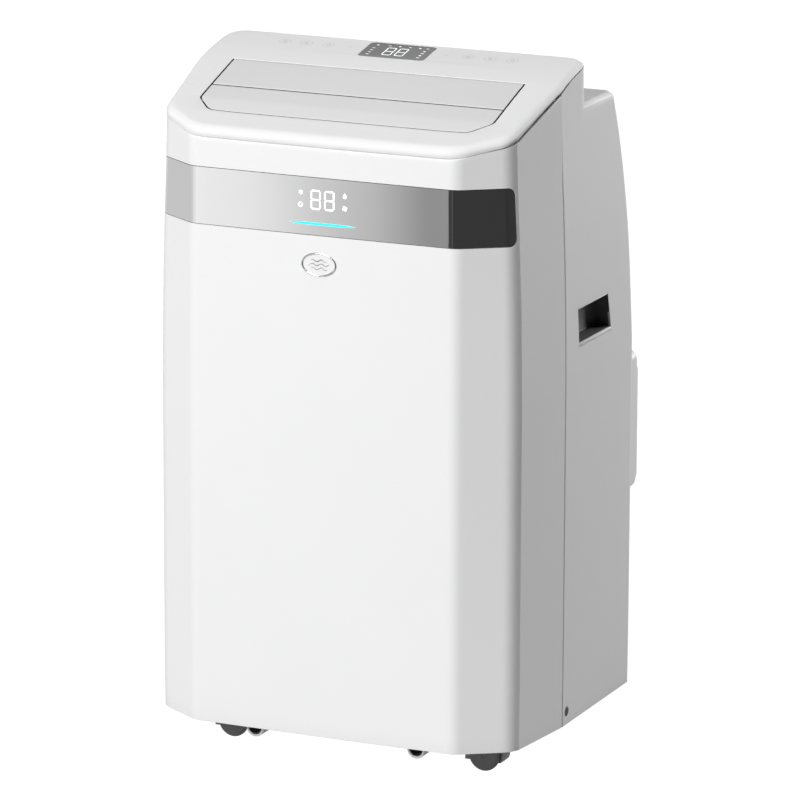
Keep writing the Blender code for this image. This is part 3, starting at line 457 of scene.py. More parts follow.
# ---- materials
class Look:
    """Small helper round one node tree."""

    def __init__(self, name):
        self.mat = bpy.data.materials.new(name)
        self.mat.use_nodes = True
        self.tree = self.mat.node_tree
        self.shader = self.tree.nodes["Principled BSDF"]
        self.where = self.node("ShaderNodeTexCoord").outputs["Object"]

    def node(self, kind, **values):
        made = self.tree.nodes.new(kind)
        for key, value in values.items():
            setattr(made, key, value)
        return made

    def link(self, a, b):
        self.tree.links.new(a, b)

    def set(self, **values):
        for key, value in values.items():
            self.shader.inputs[key.replace("_", " ")].default_value = value

    def texture(self, kind, **values):
        """Texture node in object space with its inputs set."""
        made = self.node(kind)
        for key, value in values.items():
            made.inputs[key].default_value = value
        self.link(self.where, made.inputs["Vector"])
        return made

    def noise(self, scale, detail=3.0, rough=0.5):
        return self.texture("ShaderNodeTexNoise", Scale=scale, Detail=detail, Roughness=rough).outputs["Fac"]

    def wave(self, scale, axis, distortion=0.0):
        made = self.texture("ShaderNodeTexWave", Scale=scale, Distortion=distortion)
        made.bands_direction = axis
        return made.outputs["Fac"]

    def cells(self, scale):
        return self.texture("ShaderNodeTexVoronoi", Scale=scale).outputs["Distance"]

    def ramp(self, source, low, high, at=(0.35, 0.65)):
        made = self.node("ShaderNodeValToRGB")
        for element, colour, spot in zip(made.color_ramp.elements, (low, high), at):
            element.position = spot
            element.color = (*colour, 1.0)
        self.link(source, made.inputs["Fac"])
        return made.outputs["Color"]

    def spread(self, source, low, high):
        made = self.node("ShaderNodeMapRange")
        made.inputs["To Min"].default_value = low
        made.inputs["To Max"].default_value = high
        self.link(source, made.inputs["Value"])
        return made.outputs["Result"]

    def weave(self, scale=330.0):
        """Threads along and across."""
        made = self.node("ShaderNodeMath", operation="MAXIMUM")
        for socket, axis in zip(made.inputs, ("X", "Z")):
            self.link(self.wave(scale, axis), socket)
        return made.outputs["Value"]

    def bump(self, source, depth):
        made = self.node("ShaderNodeBump")
        made.inputs["Distance"].default_value = depth
        self.link(source, made.inputs["Height"])
        self.link(made.outputs["Normal"], self.shader.inputs["Normal"])

    def colour(self, source):
        self.link(source, self.shader.inputs["Base Color"])

    def rough(self, source):
        self.link(source, self.shader.inputs["Roughness"])


def tint(colour, factor):
    return tuple(min(1.0, c * factor) for c in colour)


def mottled(name, tone, low, high, gloss, rough, relief=None, depth=0.0, **sockets):
    """Surface whose colour and gloss drift between two values, over a fine relief if one is given."""
    look = Look(name)
    look.colour(look.ramp(look.noise(*tone), low, high))
    look.rough(look.spread(look.noise(*gloss), *rough))
    if relief:
        look.bump(look.noise(*relief), depth)
    look.set(**sockets)
    return look.mat


def patterned(name, pattern, low, high, at, gloss, rough, depth, **sockets):
    """Surface whose one pattern gives both its colour and its relief."""
    look = Look(name)
    source = pattern(look)
    look.colour(look.ramp(source, low, high, at))
    look.rough(look.spread(look.noise(gloss), *rough))
    look.bump(source, depth)
    look.set(**sockets)
    return look.mat


def moulded(name, colour, rough, grain, depth, vary, coat=0.0, shine=0.5):
    """Moulded plastic: slight cloudiness of tone and gloss, and a fine spark-eroded grain."""
    return mottled(name, (7.0, 4.0, 0.55), tint(colour, 1 - vary), tint(colour, 1 + vary), (23.0, 3.0),
                   (rough - 0.03, rough + 0.03), (grain, 2.0, 0.6), depth,
                   Coat_Weight=coat, Coat_Roughness=0.12, Specular_IOR_Level=shine)


def glowing(name, colour, strength):
    look = Look(name)
    source = look.ramp(look.noise(120.0), tint(colour, 0.97), colour)
    look.colour(source)
    look.link(source, look.shader.inputs["Emission Color"])
    look.set(Emission_Strength=strength, Roughness=0.35)
    return look.mat


# colour, roughness, scale and depth of the grain, variation of tone, coat, shine
PLASTICS = {
    "white": ((0.83, 0.83, 0.832), 0.36, 1400.0, 0.000008, 0.004, 0.12),
    "cover": ((0.78, 0.78, 0.782), 0.58, 1400.0, 0.00001, 0.004, 0.0, 0.25),
    "rear": ((0.75, 0.75, 0.753), 0.5, 1100.0, 0.000016, 0.006, 0.0, 0.3),
    "louvre": ((0.72, 0.718, 0.72), 0.42, 1100.0, 0.00001, 0.008),
    "dark": ((0.022, 0.022, 0.023), 0.48, 800.0, 0.00003, 0.12, 0.0, 0.3),
    "grip": ((0.10, 0.10, 0.102), 0.6, 700.0, 0.00002, 0.06, 0.0, 0.12),
    "castor": ((0.085, 0.085, 0.087), 0.42, 700.0, 0.00003, 0.10),
    "hood": ((0.12, 0.12, 0.122), 0.5, 700.0, 0.00003, 0.10, 0.0, 0.7),
    "inner": ((0.26, 0.27, 0.28), 0.6, 500.0, 0.00004, 0.06),
    "rubber": ((0.02, 0.02, 0.02), 0.8, 400.0, 0.00006, 0.2),
    "socket": ((0.78, 0.78, 0.785), 0.4, 900.0, 0.00001, 0.01),
    "print": ((0.40, 0.40, 0.405), 0.5, 900.0, 0.000005, 0.03),
}


def make_looks():
    looks = {key: moulded(key + "_plastic", *row) for key, row in PLASTICS.items()}
    looks["digit"] = glowing("digit_light", (1.0, 1.0, 1.0), 1.15)
    looks["lens_digit"] = glowing("lens_digit_light", (0.93, 0.95, 0.97), 0.6)
    looks["lens_icon"] = glowing("lens_icon_light", (0.92, 0.94, 0.96), 0.42)
    looks["cyan"] = glowing("light_guide", (0.03, 0.80, 0.82), 0.75)
    looks["mirror"] = mottled("mirror_trim", (5.0, 3.0), (0.70, 0.70, 0.705), (0.725, 0.725, 0.73),
                              (60.0, 2.0), (0.045, 0.06), Metallic=1.0, Coat_Weight=0.25, Coat_Roughness=0.03)
    looks["chrome"] = mottled("badge_chrome", (90.0,), (0.42, 0.42, 0.425), (0.62, 0.62, 0.63),
                              (140.0,), (0.16, 0.26), Metallic=1.0)
    looks["lens"] = mottled("dark_lens", (16.0,), (0.285, 0.285, 0.287), (0.305, 0.305, 0.307),
                            (40.0,), (0.10, 0.16), Coat_Weight=0.4, Coat_Roughness=0.05)
    looks["steel"] = mottled("zinc_steel", (70.0, 5.0, 0.7), (0.44, 0.45, 0.46), (0.62, 0.63, 0.63),
                             (45.0, 4.0), (0.26, 0.42), (600.0,), 0.000015, Metallic=1.0)
    looks["copper"] = mottled("copper", (38.0, 5.0, 0.7), (0.42, 0.17, 0.09), (0.80, 0.42, 0.26),
                              (70.0,), (0.24, 0.42), (500.0,), 0.00001, Metallic=1.0)
    looks["enamel"] = mottled("black_enamel", (30.0,), (0.012, 0.012, 0.012), (0.024, 0.024, 0.024),
                              (200.0,), (0.28, 0.42), (350.0, 3.0), 0.00005)
    looks["board"] = patterned("board_green", lambda look: look.wave(420.0, "X", 3.0), (0.008, 0.07, 0.03),
                               (0.02, 0.16, 0.07), (0.45, 0.55), 80.0, (0.35, 0.5), 0.00002)
    looks["fins"] = patterned("fin_aluminium", lambda look: look.wave(180.0, "X"), (0.10, 0.10, 0.105),
                              (0.72, 0.73, 0.74), (0.3, 0.6), 60.0, (0.32, 0.48), 0.0005, Metallic=0.9)
    looks["foam"] = patterned("expanded_foam", lambda look: look.cells(330.0), (0.80, 0.80, 0.78),
                              (0.60, 0.60, 0.585), (0.1, 0.8), 90.0, (0.8, 0.95), -0.0002)
    looks["mesh"] = patterned("filter_mesh", Look.weave, (0.004, 0.004, 0.004), (0.06, 0.06, 0.065),
                              (0.55, 0.8), 120.0, (0.5, 0.65), 0.0003)
    return looks


LOOKS = make_looks()


# ---- front panel and band
def panel_top(y):
    """Top edge of the front panel: lower along the side wings, for the shadow gap."""
    return split_z(y) - 0.6 - 2.4 * max(0.0, min(1.0, (y - 20) / 25))


def wing_row(z, inset, seam_r, level):
    """Whole front row at one level, its seam ends eased; level gives z from y."""
    half = plan(z, inset)
    end = SEAM_Y - 0.45
    clipped = [p for p in half if p[1] < end - seam_r - 0.3]
    base = Vector(clipped[-1])
    lean = (half[-1][0] - base.x) / (half[-1][1] - base.y)
    for run, rise in quarter(4):
        y = end - seam_r * rise
        clipped.append((base.x + lean * (y - base.y) - seam_r * run, y))
    right = [(x, y, level(y)) for x, y in clipped]
    return [(-x, y, z1) for x, y, z1 in reversed(right[1:])] + right


def front_panel():
    lows = [(PANEL_Z0 + EASE * run, EASE * rise) for run, rise in quarter(5)]
    rows = [(z, inset, lambda y, z=z: z) for z, inset in lows + [(z, 0.0) for z in steps(60, 640, 24)]]
    rows += [(640 + 48 * f, 0.0, lambda y, f=f: 640 + (panel_top(y) - 640) * f) for f in (0.3, 0.6, 0.9)]
    rows += [(690, EASE * run, lambda y, drop=EASE * rise: panel_top(y) - drop) for run, rise in quarter(4)]
    outer = [wing_row(z, inset, 0.9, level) for z, inset, level in rows]
    inner = [wing_row(z, SHELL, 0.0, level) for z, _, level in rows]
    width = min(len(row) for row in outer + inner)
    panel = layered("front_shell", [[trim(row, width) for row in grid] for grid in (outer, inner)], "white")
    combine(panel, band_solid("recess", -4.0, 2.0, 0.55))
    shade(panel, 11)
    settle(panel, "cabinet", "white_plastic", "front_panel")


def trim(row, width):
    """Drops points beside the seam until the row has that many."""
    row = list(row)
    while len(row) > width:
        del row[len(row) - 6]
        del row[5]
    return row


def band_end(z):
    """How far back the band reaches round the corner."""
    return 40.4 - 0.7 * (z - BAND_Z0) / (BAND_Z1 - BAND_Z0)


@lru_cache(maxsize=None)
def along(z, inset):
    """Dense outline at height z with the running length of each point."""
    path = plan(z, inset, 22)
    total = [0.0]
    for a, b in zip(path, path[1:]):
        total.append(total[-1] + math.dist(a, b))
    return path, total


def at_length(path, total, s):
    low = min(bisect_right(total, s) - 1, len(total) - 2)
    f = (s - total[low]) / (total[low + 1] - total[low])
    (ax, ay), (bx, by) = path[low], path[low + 1]
    return ax + (bx - ax) * f, ay + (by - ay) * f


def reach_to(path, total, y):
    for i in range(len(path) - 1):
        if path[i][1] <= y < path[i + 1][1] and path[i][0] > KINK_X:
            f = (y - path[i][1]) / (path[i + 1][1] - path[i][1])
            return total[i] + (total[i + 1] - total[i]) * f
    return total[-1]


def band_grid(inset, shrink, cols):
    """Grid of points over the band with rounded ends; shrink pulls its outline in."""
    z0 = BAND_Z0 + 0.4 + shrink
    z1 = BAND_Z1 - 0.4 - shrink
    radius = max(BAND_R - shrink, 1.0)
    ends = [radius * run for run, _ in quarter(7)]
    levels = [z0 + d for d in ends] + steps(z0 + radius, z1 - radius, 18)[1:-1] + [z1 - d for d in ends[::-1]]
    grid = []
    for z in levels:
        path, total = along(z, inset)
        s_end = reach_to(path, total, band_end(z)) - shrink
        d = max(0.0, radius - min(z - z0, z1 - z))
        s_end -= radius - math.sqrt(max(0.0, radius * radius - d * d))
        grid.append([(*mirrored(path, total, s_end * f), z) for f in steps(-1, 1, cols)])
    return grid


def mirrored(path, total, s):
    x, y = at_length(path, total, abs(s))
    return (x if s >= 0 else -x, y)


def rim_of(rows, cols):
    """Indices round the edge of a grid."""
    loop = list(range(cols))
    loop += [r * cols + cols - 1 for r in range(1, rows)]
    loop += [(rows - 1) * cols + c for c in range(cols - 2, -1, -1)]
    loop += [r * cols for r in range(rows - 2, 0, -1)]
    return loop


def layered(name, grids, look=None):
    """Closed solid from a front grid, rims of the grids between, and a back grid."""
    rows, cols = len(grids[0]), len(grids[0][0])
    size = rows * cols
    rim = rim_of(rows, cols)
    verts = [p for row in grids[0] for p in row]
    starts = []
    for grid in grids[1:-1]:
        flat = [p for row in grid for p in row]
        starts.append((len(verts), False))
        verts += [flat[i] for i in rim]
    starts.append((len(verts), True))
    verts += [p for row in grids[-1] for p in row]
    faces = []
    for r in range(rows - 1):
        for c in range(cols - 1):
            a = r * cols + c
            b = starts[-1][0] + a
            faces.append((a, a + 1, a + cols + 1, a + cols))
            faces.append((b, b + cols, b + cols + 1, b + 1))
    before = rim
    for start, whole in starts:
        here = [start + i for i in (rim if whole else range(len(rim)))]
        for i in range(len(rim)):
            j = (i + 1) % len(rim)
            faces.append((before[i], here[i], here[j], before[j]))
        before = here
    return make(name, verts, faces, look)


def band_solid(name, outer, inner, grow, look=None):
    """Plain layer in the shape of the band, its outline moved out by grow."""
    return layered(name, [band_grid(inset, -grow, 150) for inset in (outer, inner)], look)


def front_band():
    layers = [(-0.02, 0.1), (0.03, 0.03), (0.1, 0.0), (1.4, 0.0)]
    band = layered("mirror_band", [band_grid(inset, shrink, 220) for inset, shrink in layers], "mirror")
    # Dark layer behind the band: painted shade in the narrow gap round its edge.
    settle(band_solid("band_gap_shade", 0.12, 1.95, 0.5, "dark"), "cabinet", "rubber")
    settle(band, "cabinet", "mirror_trim", "front_band")


# ---- signs on the band and the top
def bar(x0, z0, x1, z1, thick, blunt=0.5):
    """Six-sided stroke from one point to another."""
    a, b = Vector((x0, z0)), Vector((x1, z1))
    run = (b - a).normalized()
    out = Vector((-run.y, run.x)) * thick / 2
    tip = run * thick * blunt
    return [tuple(p) for p in (a, a + tip + out, b - tip + out, b, b - tip - out, a + tip - out)]


def oval(cx, cz, rx, rz, count=28):
    return [(cx + rx * math.cos(t), cz + rz * math.sin(t)) for t in steps(0, 2 * math.pi, count)[:-1]]


def digit_eight(x0, z0, x1, z1, thick, gap=0.35):
    mid = (z0 + z1) / 2
    h = thick / 2
    strokes = [(x0 + h, z1 - h, x1 - h, z1 - h), (x0 + h, mid, x1 - h, mid), (x0 + h, z0 + h, x1 - h, z0 + h)]
    for x in (x0 + h, x1 - h):
        strokes += [(x, mid, x, z1 - h), (x, z0 + h, x, mid)]
    loops = []
    for ax, az, bx, bz in strokes:
        run = (Vector((bx, bz)) - Vector((ax, az))).normalized() * gap
        loops.append(bar(ax + run.x, az + run.y, bx - run.x, bz - run.y, thick, 0.42))
    return loops


def front_sign(name, loops, look, slot="light_guide", proud=0.07, deep=0.3):
    """Thin plates that lie on the front's bowed face."""
    stacks = []
    for loop in loops:
        middle = sum(x for x, _ in loop) / len(loop)
        face = -BOW + BOW * (middle / KINK_X) ** 2 - 0.02
        stacks.append([[(x, face + deep, z) for x, z in loop], [(x, face - proud, z) for x, z in loop]])
    return settle(many_solids(name, stacks, look), "cabinet", slot)


def front_display():
    loops = []
    for x in (-13.3, 2.5):
        loops += digit_eight(x, 622.8, x + 11.9, 644.0, 1.7, 0.45)
    front_sign("band_digits", loops, "digit")
    icons = []
    for k in range(3):
        a = math.pi * k / 3 + math.pi / 6
        dx, dz = 2.6 * math.cos(a), 2.6 * math.sin(a)
        icons.append(bar(-24.6 - dx, 640.3 - dz, -24.6 + dx, 640.3 + dz, 0.8))
    tips = oval(-24.9, 627.2, 2.7, 2.7, 4)
    for a, b in zip(tips, tips[1:] + tips[:1]):
        icons.append(bar(*a, *b, 0.95, 0.2))
    open_side = math.radians(125)
    drop = [(26.3 + 2.1 * math.sin(t), 639.5 - 2.1 * math.cos(t)) for t in steps(open_side, -open_side, 14)]
    icons.append([(26.3, 643.4)] + drop)
    for a in steps(0.5, 0.5 + 2 * math.pi, 4)[:-1]:
        icons.append(oval(26.3 + 1.6 * math.cos(a), 626.9 + 1.6 * math.sin(a), 1.3, 1.3, 12))
    front_sign("band_icons", icons, "digit")
    reach, thick = 38.3, 1.35
    profile = [(x, thick * (1 - abs(x / reach) ** 3.2) ** 0.6) for x in packed(-reach, reach, 30)]
    guide = [(x, 607.7 + t) for x, t in profile] + [(x, 607.7 - t) for x, t in reversed(profile[1:-1])]
    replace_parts(front_sign("light_bar", [guide], "cyan", "light_guide", 0.1, 0.35), "front_light_bar")


def front_badge():
    """Blank oval badge: a raised ring and three plain air lines."""
    cx, cz = -3.6, 564.0
    section = ((20.3, 12.9, -1.15), (20.3, 12.9, -1.7), (19.8, 12.4, -2.1), (19.1, 11.6, -2.1),
               (18.5, 11.1, -1.7), (18.5, 11.1, -1.15))
    rings = [[(x, y, z) for x, z in oval(cx, cz, rx, rz, 72)] for rx, rz, y in section]
    settle(ring_solid("badge_ring", rings, "chrome", 40, True), "cabinet", "satin_grey", "front_badge")
    waves = []
    for row, half in ((4.3, 9.5), (0.0, 12.5), (-4.3, 9.5)):
        line = []
        for x in steps(-half, half, 28):
            z = cz + row + 1.15 * math.sin(x * 0.62)
            line.append((cx + x, z, 0.75 * math.sqrt(max(0.02, 1 - (x / half) ** 2))))
        waves.append([(x, z + t) for x, z, t in line] + [(x, z - t) for x, z, t in reversed(line)])
    front_sign("badge_lines", waves, "chrome", "satin_grey", 0.45, 0.1)


# ---- top cover
def cover_loop(inset, fine=8):
    corners = [(0, -BOW), (KINK_X, 0), (202.0, 34.5), (211.8, 139.5), (211.0, TOWER_Y), (0.0, TOWER_Y)]
    half = half_outline(corners, (0, 2 * KINK_R, CORNER_R, 0, TOWER_R), inset, fine)
    return half + [(-x, y) for x, y in reversed(half[1:-1])]


def drape(obj, stations, scale_rim=False):
    """Lays a flat piece, whose z is depth, on the sloping top."""
    def move(co):
        y = co.y / MM + Y_SHIFT
        depth = co.z / MM
        if scale_rim and depth < -COVER_T:
            depth = -COVER_T + (depth + COVER_T) * (rim_height(y) - COVER_T) / (RIM - COVER_T)
        co.z = (top_z(y) + depth) * MM

    return warped(obj, stations, (0, 1, 0), move)


def louvre_loop(y0, y1, grow=0.0, cut_front=True, half=LOUVRE_X):
    """Outline of a flap, or of both together; cut_front slants its front corners."""
    x, front, back = half + grow, y0 - grow, y1 + grow
    if not cut_front:
        return [(-x, front), (x, front), (x, back), (-x, back)]
    bend = 150 + grow / 2
    right = [(120, front, 0), (bend, front + 1.2, 18), (x, y0 + 21, 10), (x, back, 0)]
    return rounded([(-x, y, r) for x, y, r in reversed(right)] + right, 6)


def top_cover():
    lip = [(0.5 * rise, -RIM + 0.5 * run) for run, rise in quarter(3)]
    crown = [(9.0 * run, -7.0 * rise) for run, rise in quarter(10)]
    section = [(7.2, -COVER_T), (7.2, -16), (5.2, -16), (5.2, -RIM)] + lip + crown
    rings = [[(x, y, depth) for x, y in cover_loop(inset)] for inset, depth in section]
    cover = ring_solid("cover_shell", rings, "cover")
    y0, _, y2 = LOUVRE_Y
    for grow, top in ((1.9, 6), (3.3, -1.0)):
        cut(cover, at_depths(louvre_loop(y0, y2, grow), -9, top))
    a, b = LENS_Y
    cut(cover, soft_rings(-LENS_X - 0.3, LENS_X + 0.3, a - 0.3, b + 0.3, -1.8, 5, 5.3, "z"))
    with editing(cover.data) as body:
        rims = []
        for edge in body.edges:
            if all(abs(v.co.z) < 0.01 * MM for v in edge.verts) and edge.calc_face_angle(0) > 1.0:
                rims.append(edge)
        bmesh.ops.bevel(body, geom=rims, offset=0.45 * MM, segments=3, profile=0.5, affect="EDGES")
    drape(cover, steps(2, 220, 54), True)
    settle(cover, "cabinet", "white_plastic", "top_cover")
    # Dark ring round the outlet opening under the cover's edge: painted shade in the gap round the flaps.
    rings = []
    for grow, depth in ((1.95, -1.05), (3.2, -1.05), (3.2, -5.5), (1.95, -5.5)):
        rings += at_depths(louvre_loop(y0, y2, grow), depth)
    outlet_shade = ring_solid("outlet_gap_shade", rings, "dark", closed=True)
    settle(drape(outlet_shade, steps(2, 220, 54)), "cabinet", "dark_plastic")


def lens():
    a, b = LENS_Y
    glass = ring_solid("lens_plate", soft_rings(-LENS_X, LENS_X, a, b, -1.5, 0.0, 5, "z", 8, 0.35), "lens")
    settle(drape(glass, steps(a + 2, b - 2, 8)), "cabinet", "dark_lens", "control_lens")
    digits = []
    for x in (-14.0, 0.4):
        digits += digit_eight(x, 178.5, x + 10.7, 199.5, 1.15, 0.3)
    top_sign("lens_digits", digits, "lens_digit")
    marks = []
    for i, y in enumerate((177.5, 183.5, 189.5, 195.5)):
        marks.append(bar(-31.5, y, -27.8, y, 1.0))
        marks.append(oval(29.5, y + 1.0, 1.5, 1.2, 14) if i % 2 else bar(27.5, y + 1, 31.5, y + 1, 1.3))
    y = 204.6
    marks += [oval(x, y, 1.5, 1.1, 12) for x in (-28.5, -2.5, 21.0)]
    marks += [bar(x - 1.8, y, x + 1.8, y, 0.9) for x in (-14.5, 9.5, 30.0)]
    top_sign("lens_icons", marks, "lens_icon")


def top_sign(name, loops, look, slot="light_guide", proud=0.05):
    """Thin plates printed on the sloping top."""
    sign = many_solids(name, [at_depths(loop, -0.12, proud) for loop in loops], look)
    settle(drape(sign, ()), "cabinet", slot)


def ring_marks(cx, cy, rx, ry, thick, parts=10, share=0.8):
    """Broken oval line as short strokes."""
    loops = []
    for k in range(parts):
        a0 = 2 * math.pi * k / parts
        a1 = a0 + 2 * math.pi / parts * share
        span = steps(a0, a1, 4)
        out = [(cx + rx * math.cos(t), cy + ry * math.sin(t)) for t in span]
        inn = [(cx + (rx - thick) * math.cos(t), cy + (ry - thick) * math.sin(t)) for t in reversed(span)]
        loops.append(out + inn)
    return loops


def key_prints():
    """Marks of the touch keys: three rings with signs and one arrow on each side of the lens."""
    loops = []
    y = 192.5
    for i, x in enumerate((-133.5, -108.0, -82.0, 82.0, 108.0, 133.5)):
        loops += ring_marks(x, y, 6.8, 5.4, 0.42)
        if i % 3 == 0:
            loops += [bar(x - 3.0, y + dy, x + 3.0, y + dy, 0.5) for dy in (-1.8, 0, 1.8)]
        elif i % 3 == 1:
            for a in (0.3, 1.35, 2.4):
                dx, dy = 2.6 * math.cos(a), 2.6 * math.sin(a)
                loops.append(bar(x - dx, y - dy, x + dx, y + dy, 0.5))
        else:
            loops += ring_marks(x, y, 2.7, 2.5, 0.5, 3, 0.75)
            loops.append(bar(x, y, x, y + 3.1, 0.5))
    for x in (-56.5, 56.5):
        loops.append(bar(x - 2.4, y - 0.6, x, y + 1.3, 0.45))
        loops.append(bar(x, y + 1.3, x + 2.4, y - 0.6, 0.45))
    top_sign("key_prints", loops, "print", "satin_grey", 0.03)


def louvre(name, y0, y1, front):
    stations = steps(y0 + 3, y1 - 3, 11)
    flap = ring_solid(name, at_depths(louvre_loop(y0, y1, 0.0, front), -0.95, -0.1), "louvre")
    soften(flap, 0.3, 3)
    settle(drape(flap, stations), name, "satin_grey", name)
    # Dark core under the flap: painted shade, so the gaps round and between the flaps read as dark lines.
    underside_shade_loop = louvre_loop(y0 + 0.25, y1 - 0.25, 0.0, front, LOUVRE_X - 0.25)
    underside_shade = ring_solid(name + "_underside_shade", at_depths(underside_shade_loop, -2.6, -0.9), "dark")
    settle(drape(underside_shade, stations), name, "dark_plastic")
    mid = (y0 + y1) / 2
    z = top_z_cad(mid) - PIVOT_DROP
    web = [(mid + 6.0, z + 4.0), (mid + 4.5, z - 1.5), (mid + 1.5, z - 3.0), (mid - 1.5, z - 3.0),
           (mid - 4.5, z - 1.5), (mid - 6.0, z + 2.0)]
    arms = []
    for side in (-1, 1):
        x = side * (LOUVRE_X - 2.5)
        arms.append([[(x + dx, y, w) for y, w in web] for dx in (-1.2, 1.2)])
        arms.append(turned_rings((x, mid, z), "x", [(0, 1.8), (side * 4.0, 1.8), (side * 4.6, 1.3)], 20))
    settle(many_solids(name + "_arms", arms, "louvre"), name, "satin_grey")


def top_z_cad(y):
    """Height of the top between its measured points in straight runs, as the frame has it."""
    for (a, fa), (b, fb) in zip(TOP_PROFILE, TOP_PROFILE[1:]):
        if a <= y <= b:
            return fa + (fb - fa) * (y - a) / (b - a)
    return TOP_PROFILE[-1][1]


# ---- rear cover
def rear_loop(z, inset, y_front, radius, y_back, ease=0.0, fine=7):
    x = SEAM_X - taper(z) - inset
    y = y_back - inset
    right = [(x, y_front)]
    if ease:
        right = [(x - ease * rise, y_front + ease * run) for run, rise in quarter(3)]
    radius = max(radius - inset, 1.5)
    right += [(x, y_front + ease + 1.0), (x, y - radius - 1.5)]
    right += arc((x, y_front), (x, y), (0, y), radius, fine)
    right += [(x - radius - 1.5, y)]
    return right + [(-a, b) for a, b in reversed(right)]


def rear_solid(inset, y_front, ease):
    """Main box of the rear cover, its top and bottom rims eased."""
    if inset:
        levels = [(38.0, 0.0)] + [(z, 0.0) for z in steps(120, 700, 20)] + [(BOX_TOP_Z - inset, 0.0)]
    else:
        levels = [(PANEL_Z0 + EASE * run, EASE * rise) for run, rise in quarter(4)]
        levels += [(z, 0.0) for z in steps(60, 708, 36)]
        chamfer = ((4.8, 0.0), (4.4, 0.15), (0.5, 4.0), (0.0, 4.9))
        levels += [(BOX_TOP_Z - drop, extra) for drop, extra in chamfer]
    rings = []
    for z, extra in levels:
        loop = rear_loop(z, inset + extra, y_front, REAR_R + extra * 0.6, back_y(z), ease)
        rings += at_depths(loop, z)
    return ring_solid("rear_box", rings)


def tower_solid(inset, y_front, ease, top):
    """Block behind the top cover, from inside the main box up."""
    rings = []
    for z in [690] + steps(700, 780, 16) + [top]:
        rings += at_depths(rear_loop(z, inset - 0.02, y_front, TOWER_R, TOWER_Y, ease, 14), z)
    return ring_solid("tower", rings)


def handle_quad(low, high, ends=0.0, lift=0.0):
    """Leaning outline of a hand grip in (y, z)."""
    z0, z1 = HANDLE_Z
    return [(HANDLE_FRONT[0] - ends, z0 - low + lift), (HANDLE_BACK[0] + ends, z0 - low + lift),
            (HANDLE_BACK[1] + ends, z1 + high), (HANDLE_FRONT[1] - ends, z1 + high)]


def rear_cover():
    y_front = SEAM_Y + 0.7
    body = rear_solid(0.0, y_front, 0.9)
    tower = tower_solid(0.0, y_front, 0.9, 786)
    lid = [(y, split_z(y) - 0.9 - 1.6 * max(0.0, (170 - y) / 30)) for y in steps(139, 224, 17)]
    lid += [(240, 770), (240, 800), (130, 800), (130, lid[0][1])]
    cut(tower, [[(x, y, z) for y, z in lid] for x in (-260, 260)])
    combine(body, tower, "UNION")
    hollow = rear_solid(SHELL, SEAM_Y - 6, 0.0)
    combine(hollow, tower_solid(SHELL, SEAM_Y - 6, 0.0, 800), "UNION")
    combine(body, hollow)
    cutters = [soft_rings(-176, 176, 452, 700, 250, 352, 4), soft_rings(-192, 36, 176, 424, 322, 352, 4)]
    cutters.append(turned_rings((EXHAUST_X, 322, EXHAUST_Z), "y", [(0, 70.5), (30, 70.5)], 72))
    holes = [(*LOWER_DRAIN, 9.4), (*UPPER_DRAIN, 9.4), (*GLAND, 8.4)] + [(x, z, 2.3) for x, z in SCREWS]
    for x, z, r in holes:
        cutters.append(turned_rings((x, 322, z), "y", [(0, r), (30, r)], 32))
    quad = handle_quad(4.2, 2.2, 0.3)
    for side in (-1, 1):
        profile = [(0, 5.4), (side * 4.0, 5.4), (side * 4.7, 5.8), (side * 9, 5.8)]
        cutters.append(turned_rings((side * 216.5, 151.7, 59), "x", profile, 32))
        cutters.append([[(x, y, z) for y, z in quad] for x in (side * 213, side * 226)])
    cut(body, *cutters)
    shade(body, 28)
    paint(body, "rear")
    body.name = "rear_shell"
    settle(body, "cabinet", "white_plastic", "rear_cover")
    # Dark strips behind the seam between front panel and rear cover: painted shade in the seam gap.
    section = ((1.3, -2.0), (2.3, -2.0), (2.3, 2.6), (1.3, 2.6))
    strips = []
    for side in (-1, 1):
        strips.append([[(side * (SEAM_X - taper(z) - depth), SEAM_Y + y, z) for depth, y in section]
                       for z in steps(45, 706, 40)])
    settle(many_solids("seam_gap_shade", strips, "dark"), "cabinet", "rubber")


def grip_rings(side, sections):
    """Rings of a hand grip from (x, grow, lift, ends, corner radius) sections."""
    rings = []
    for x, grow, lift, ends, soft in sections:
        loop = rounded([(y, z, soft) for y, z in handle_quad(grow, grow, ends, lift)], 4)
        rings.append([(side * x, y, z) for y, z in loop])
    return rings


def bezel_strip(side, low, high):
    """Flush strip of the cover between the hole for a grip and its cup."""
    z0, z1 = HANDLE_Z
    leans = [(ends[0] - ends[1]) / (z1 - z0) for ends in (HANDLE_FRONT, HANDLE_BACK)]
    rings = []
    for depth, ease in ((1.9, 0.0), (0.45, 0.0), (0.12, 0.12), (0.0, 0.4)):
        ring = []
        for z, near in ((low + ease, True), (low + ease, False), (high - ease, False), (high - ease, True)):
            y = HANDLE_BACK[1] + leans[1] * (z1 - z) - ease
            if near:
                y = HANDLE_FRONT[1] + 0.2 + leans[0] * (z1 - z) + ease
            ring.append((side * (SEAM_X - taper(z) - 0.05 - depth), y, z))
        rings.append(ring)
    return rings


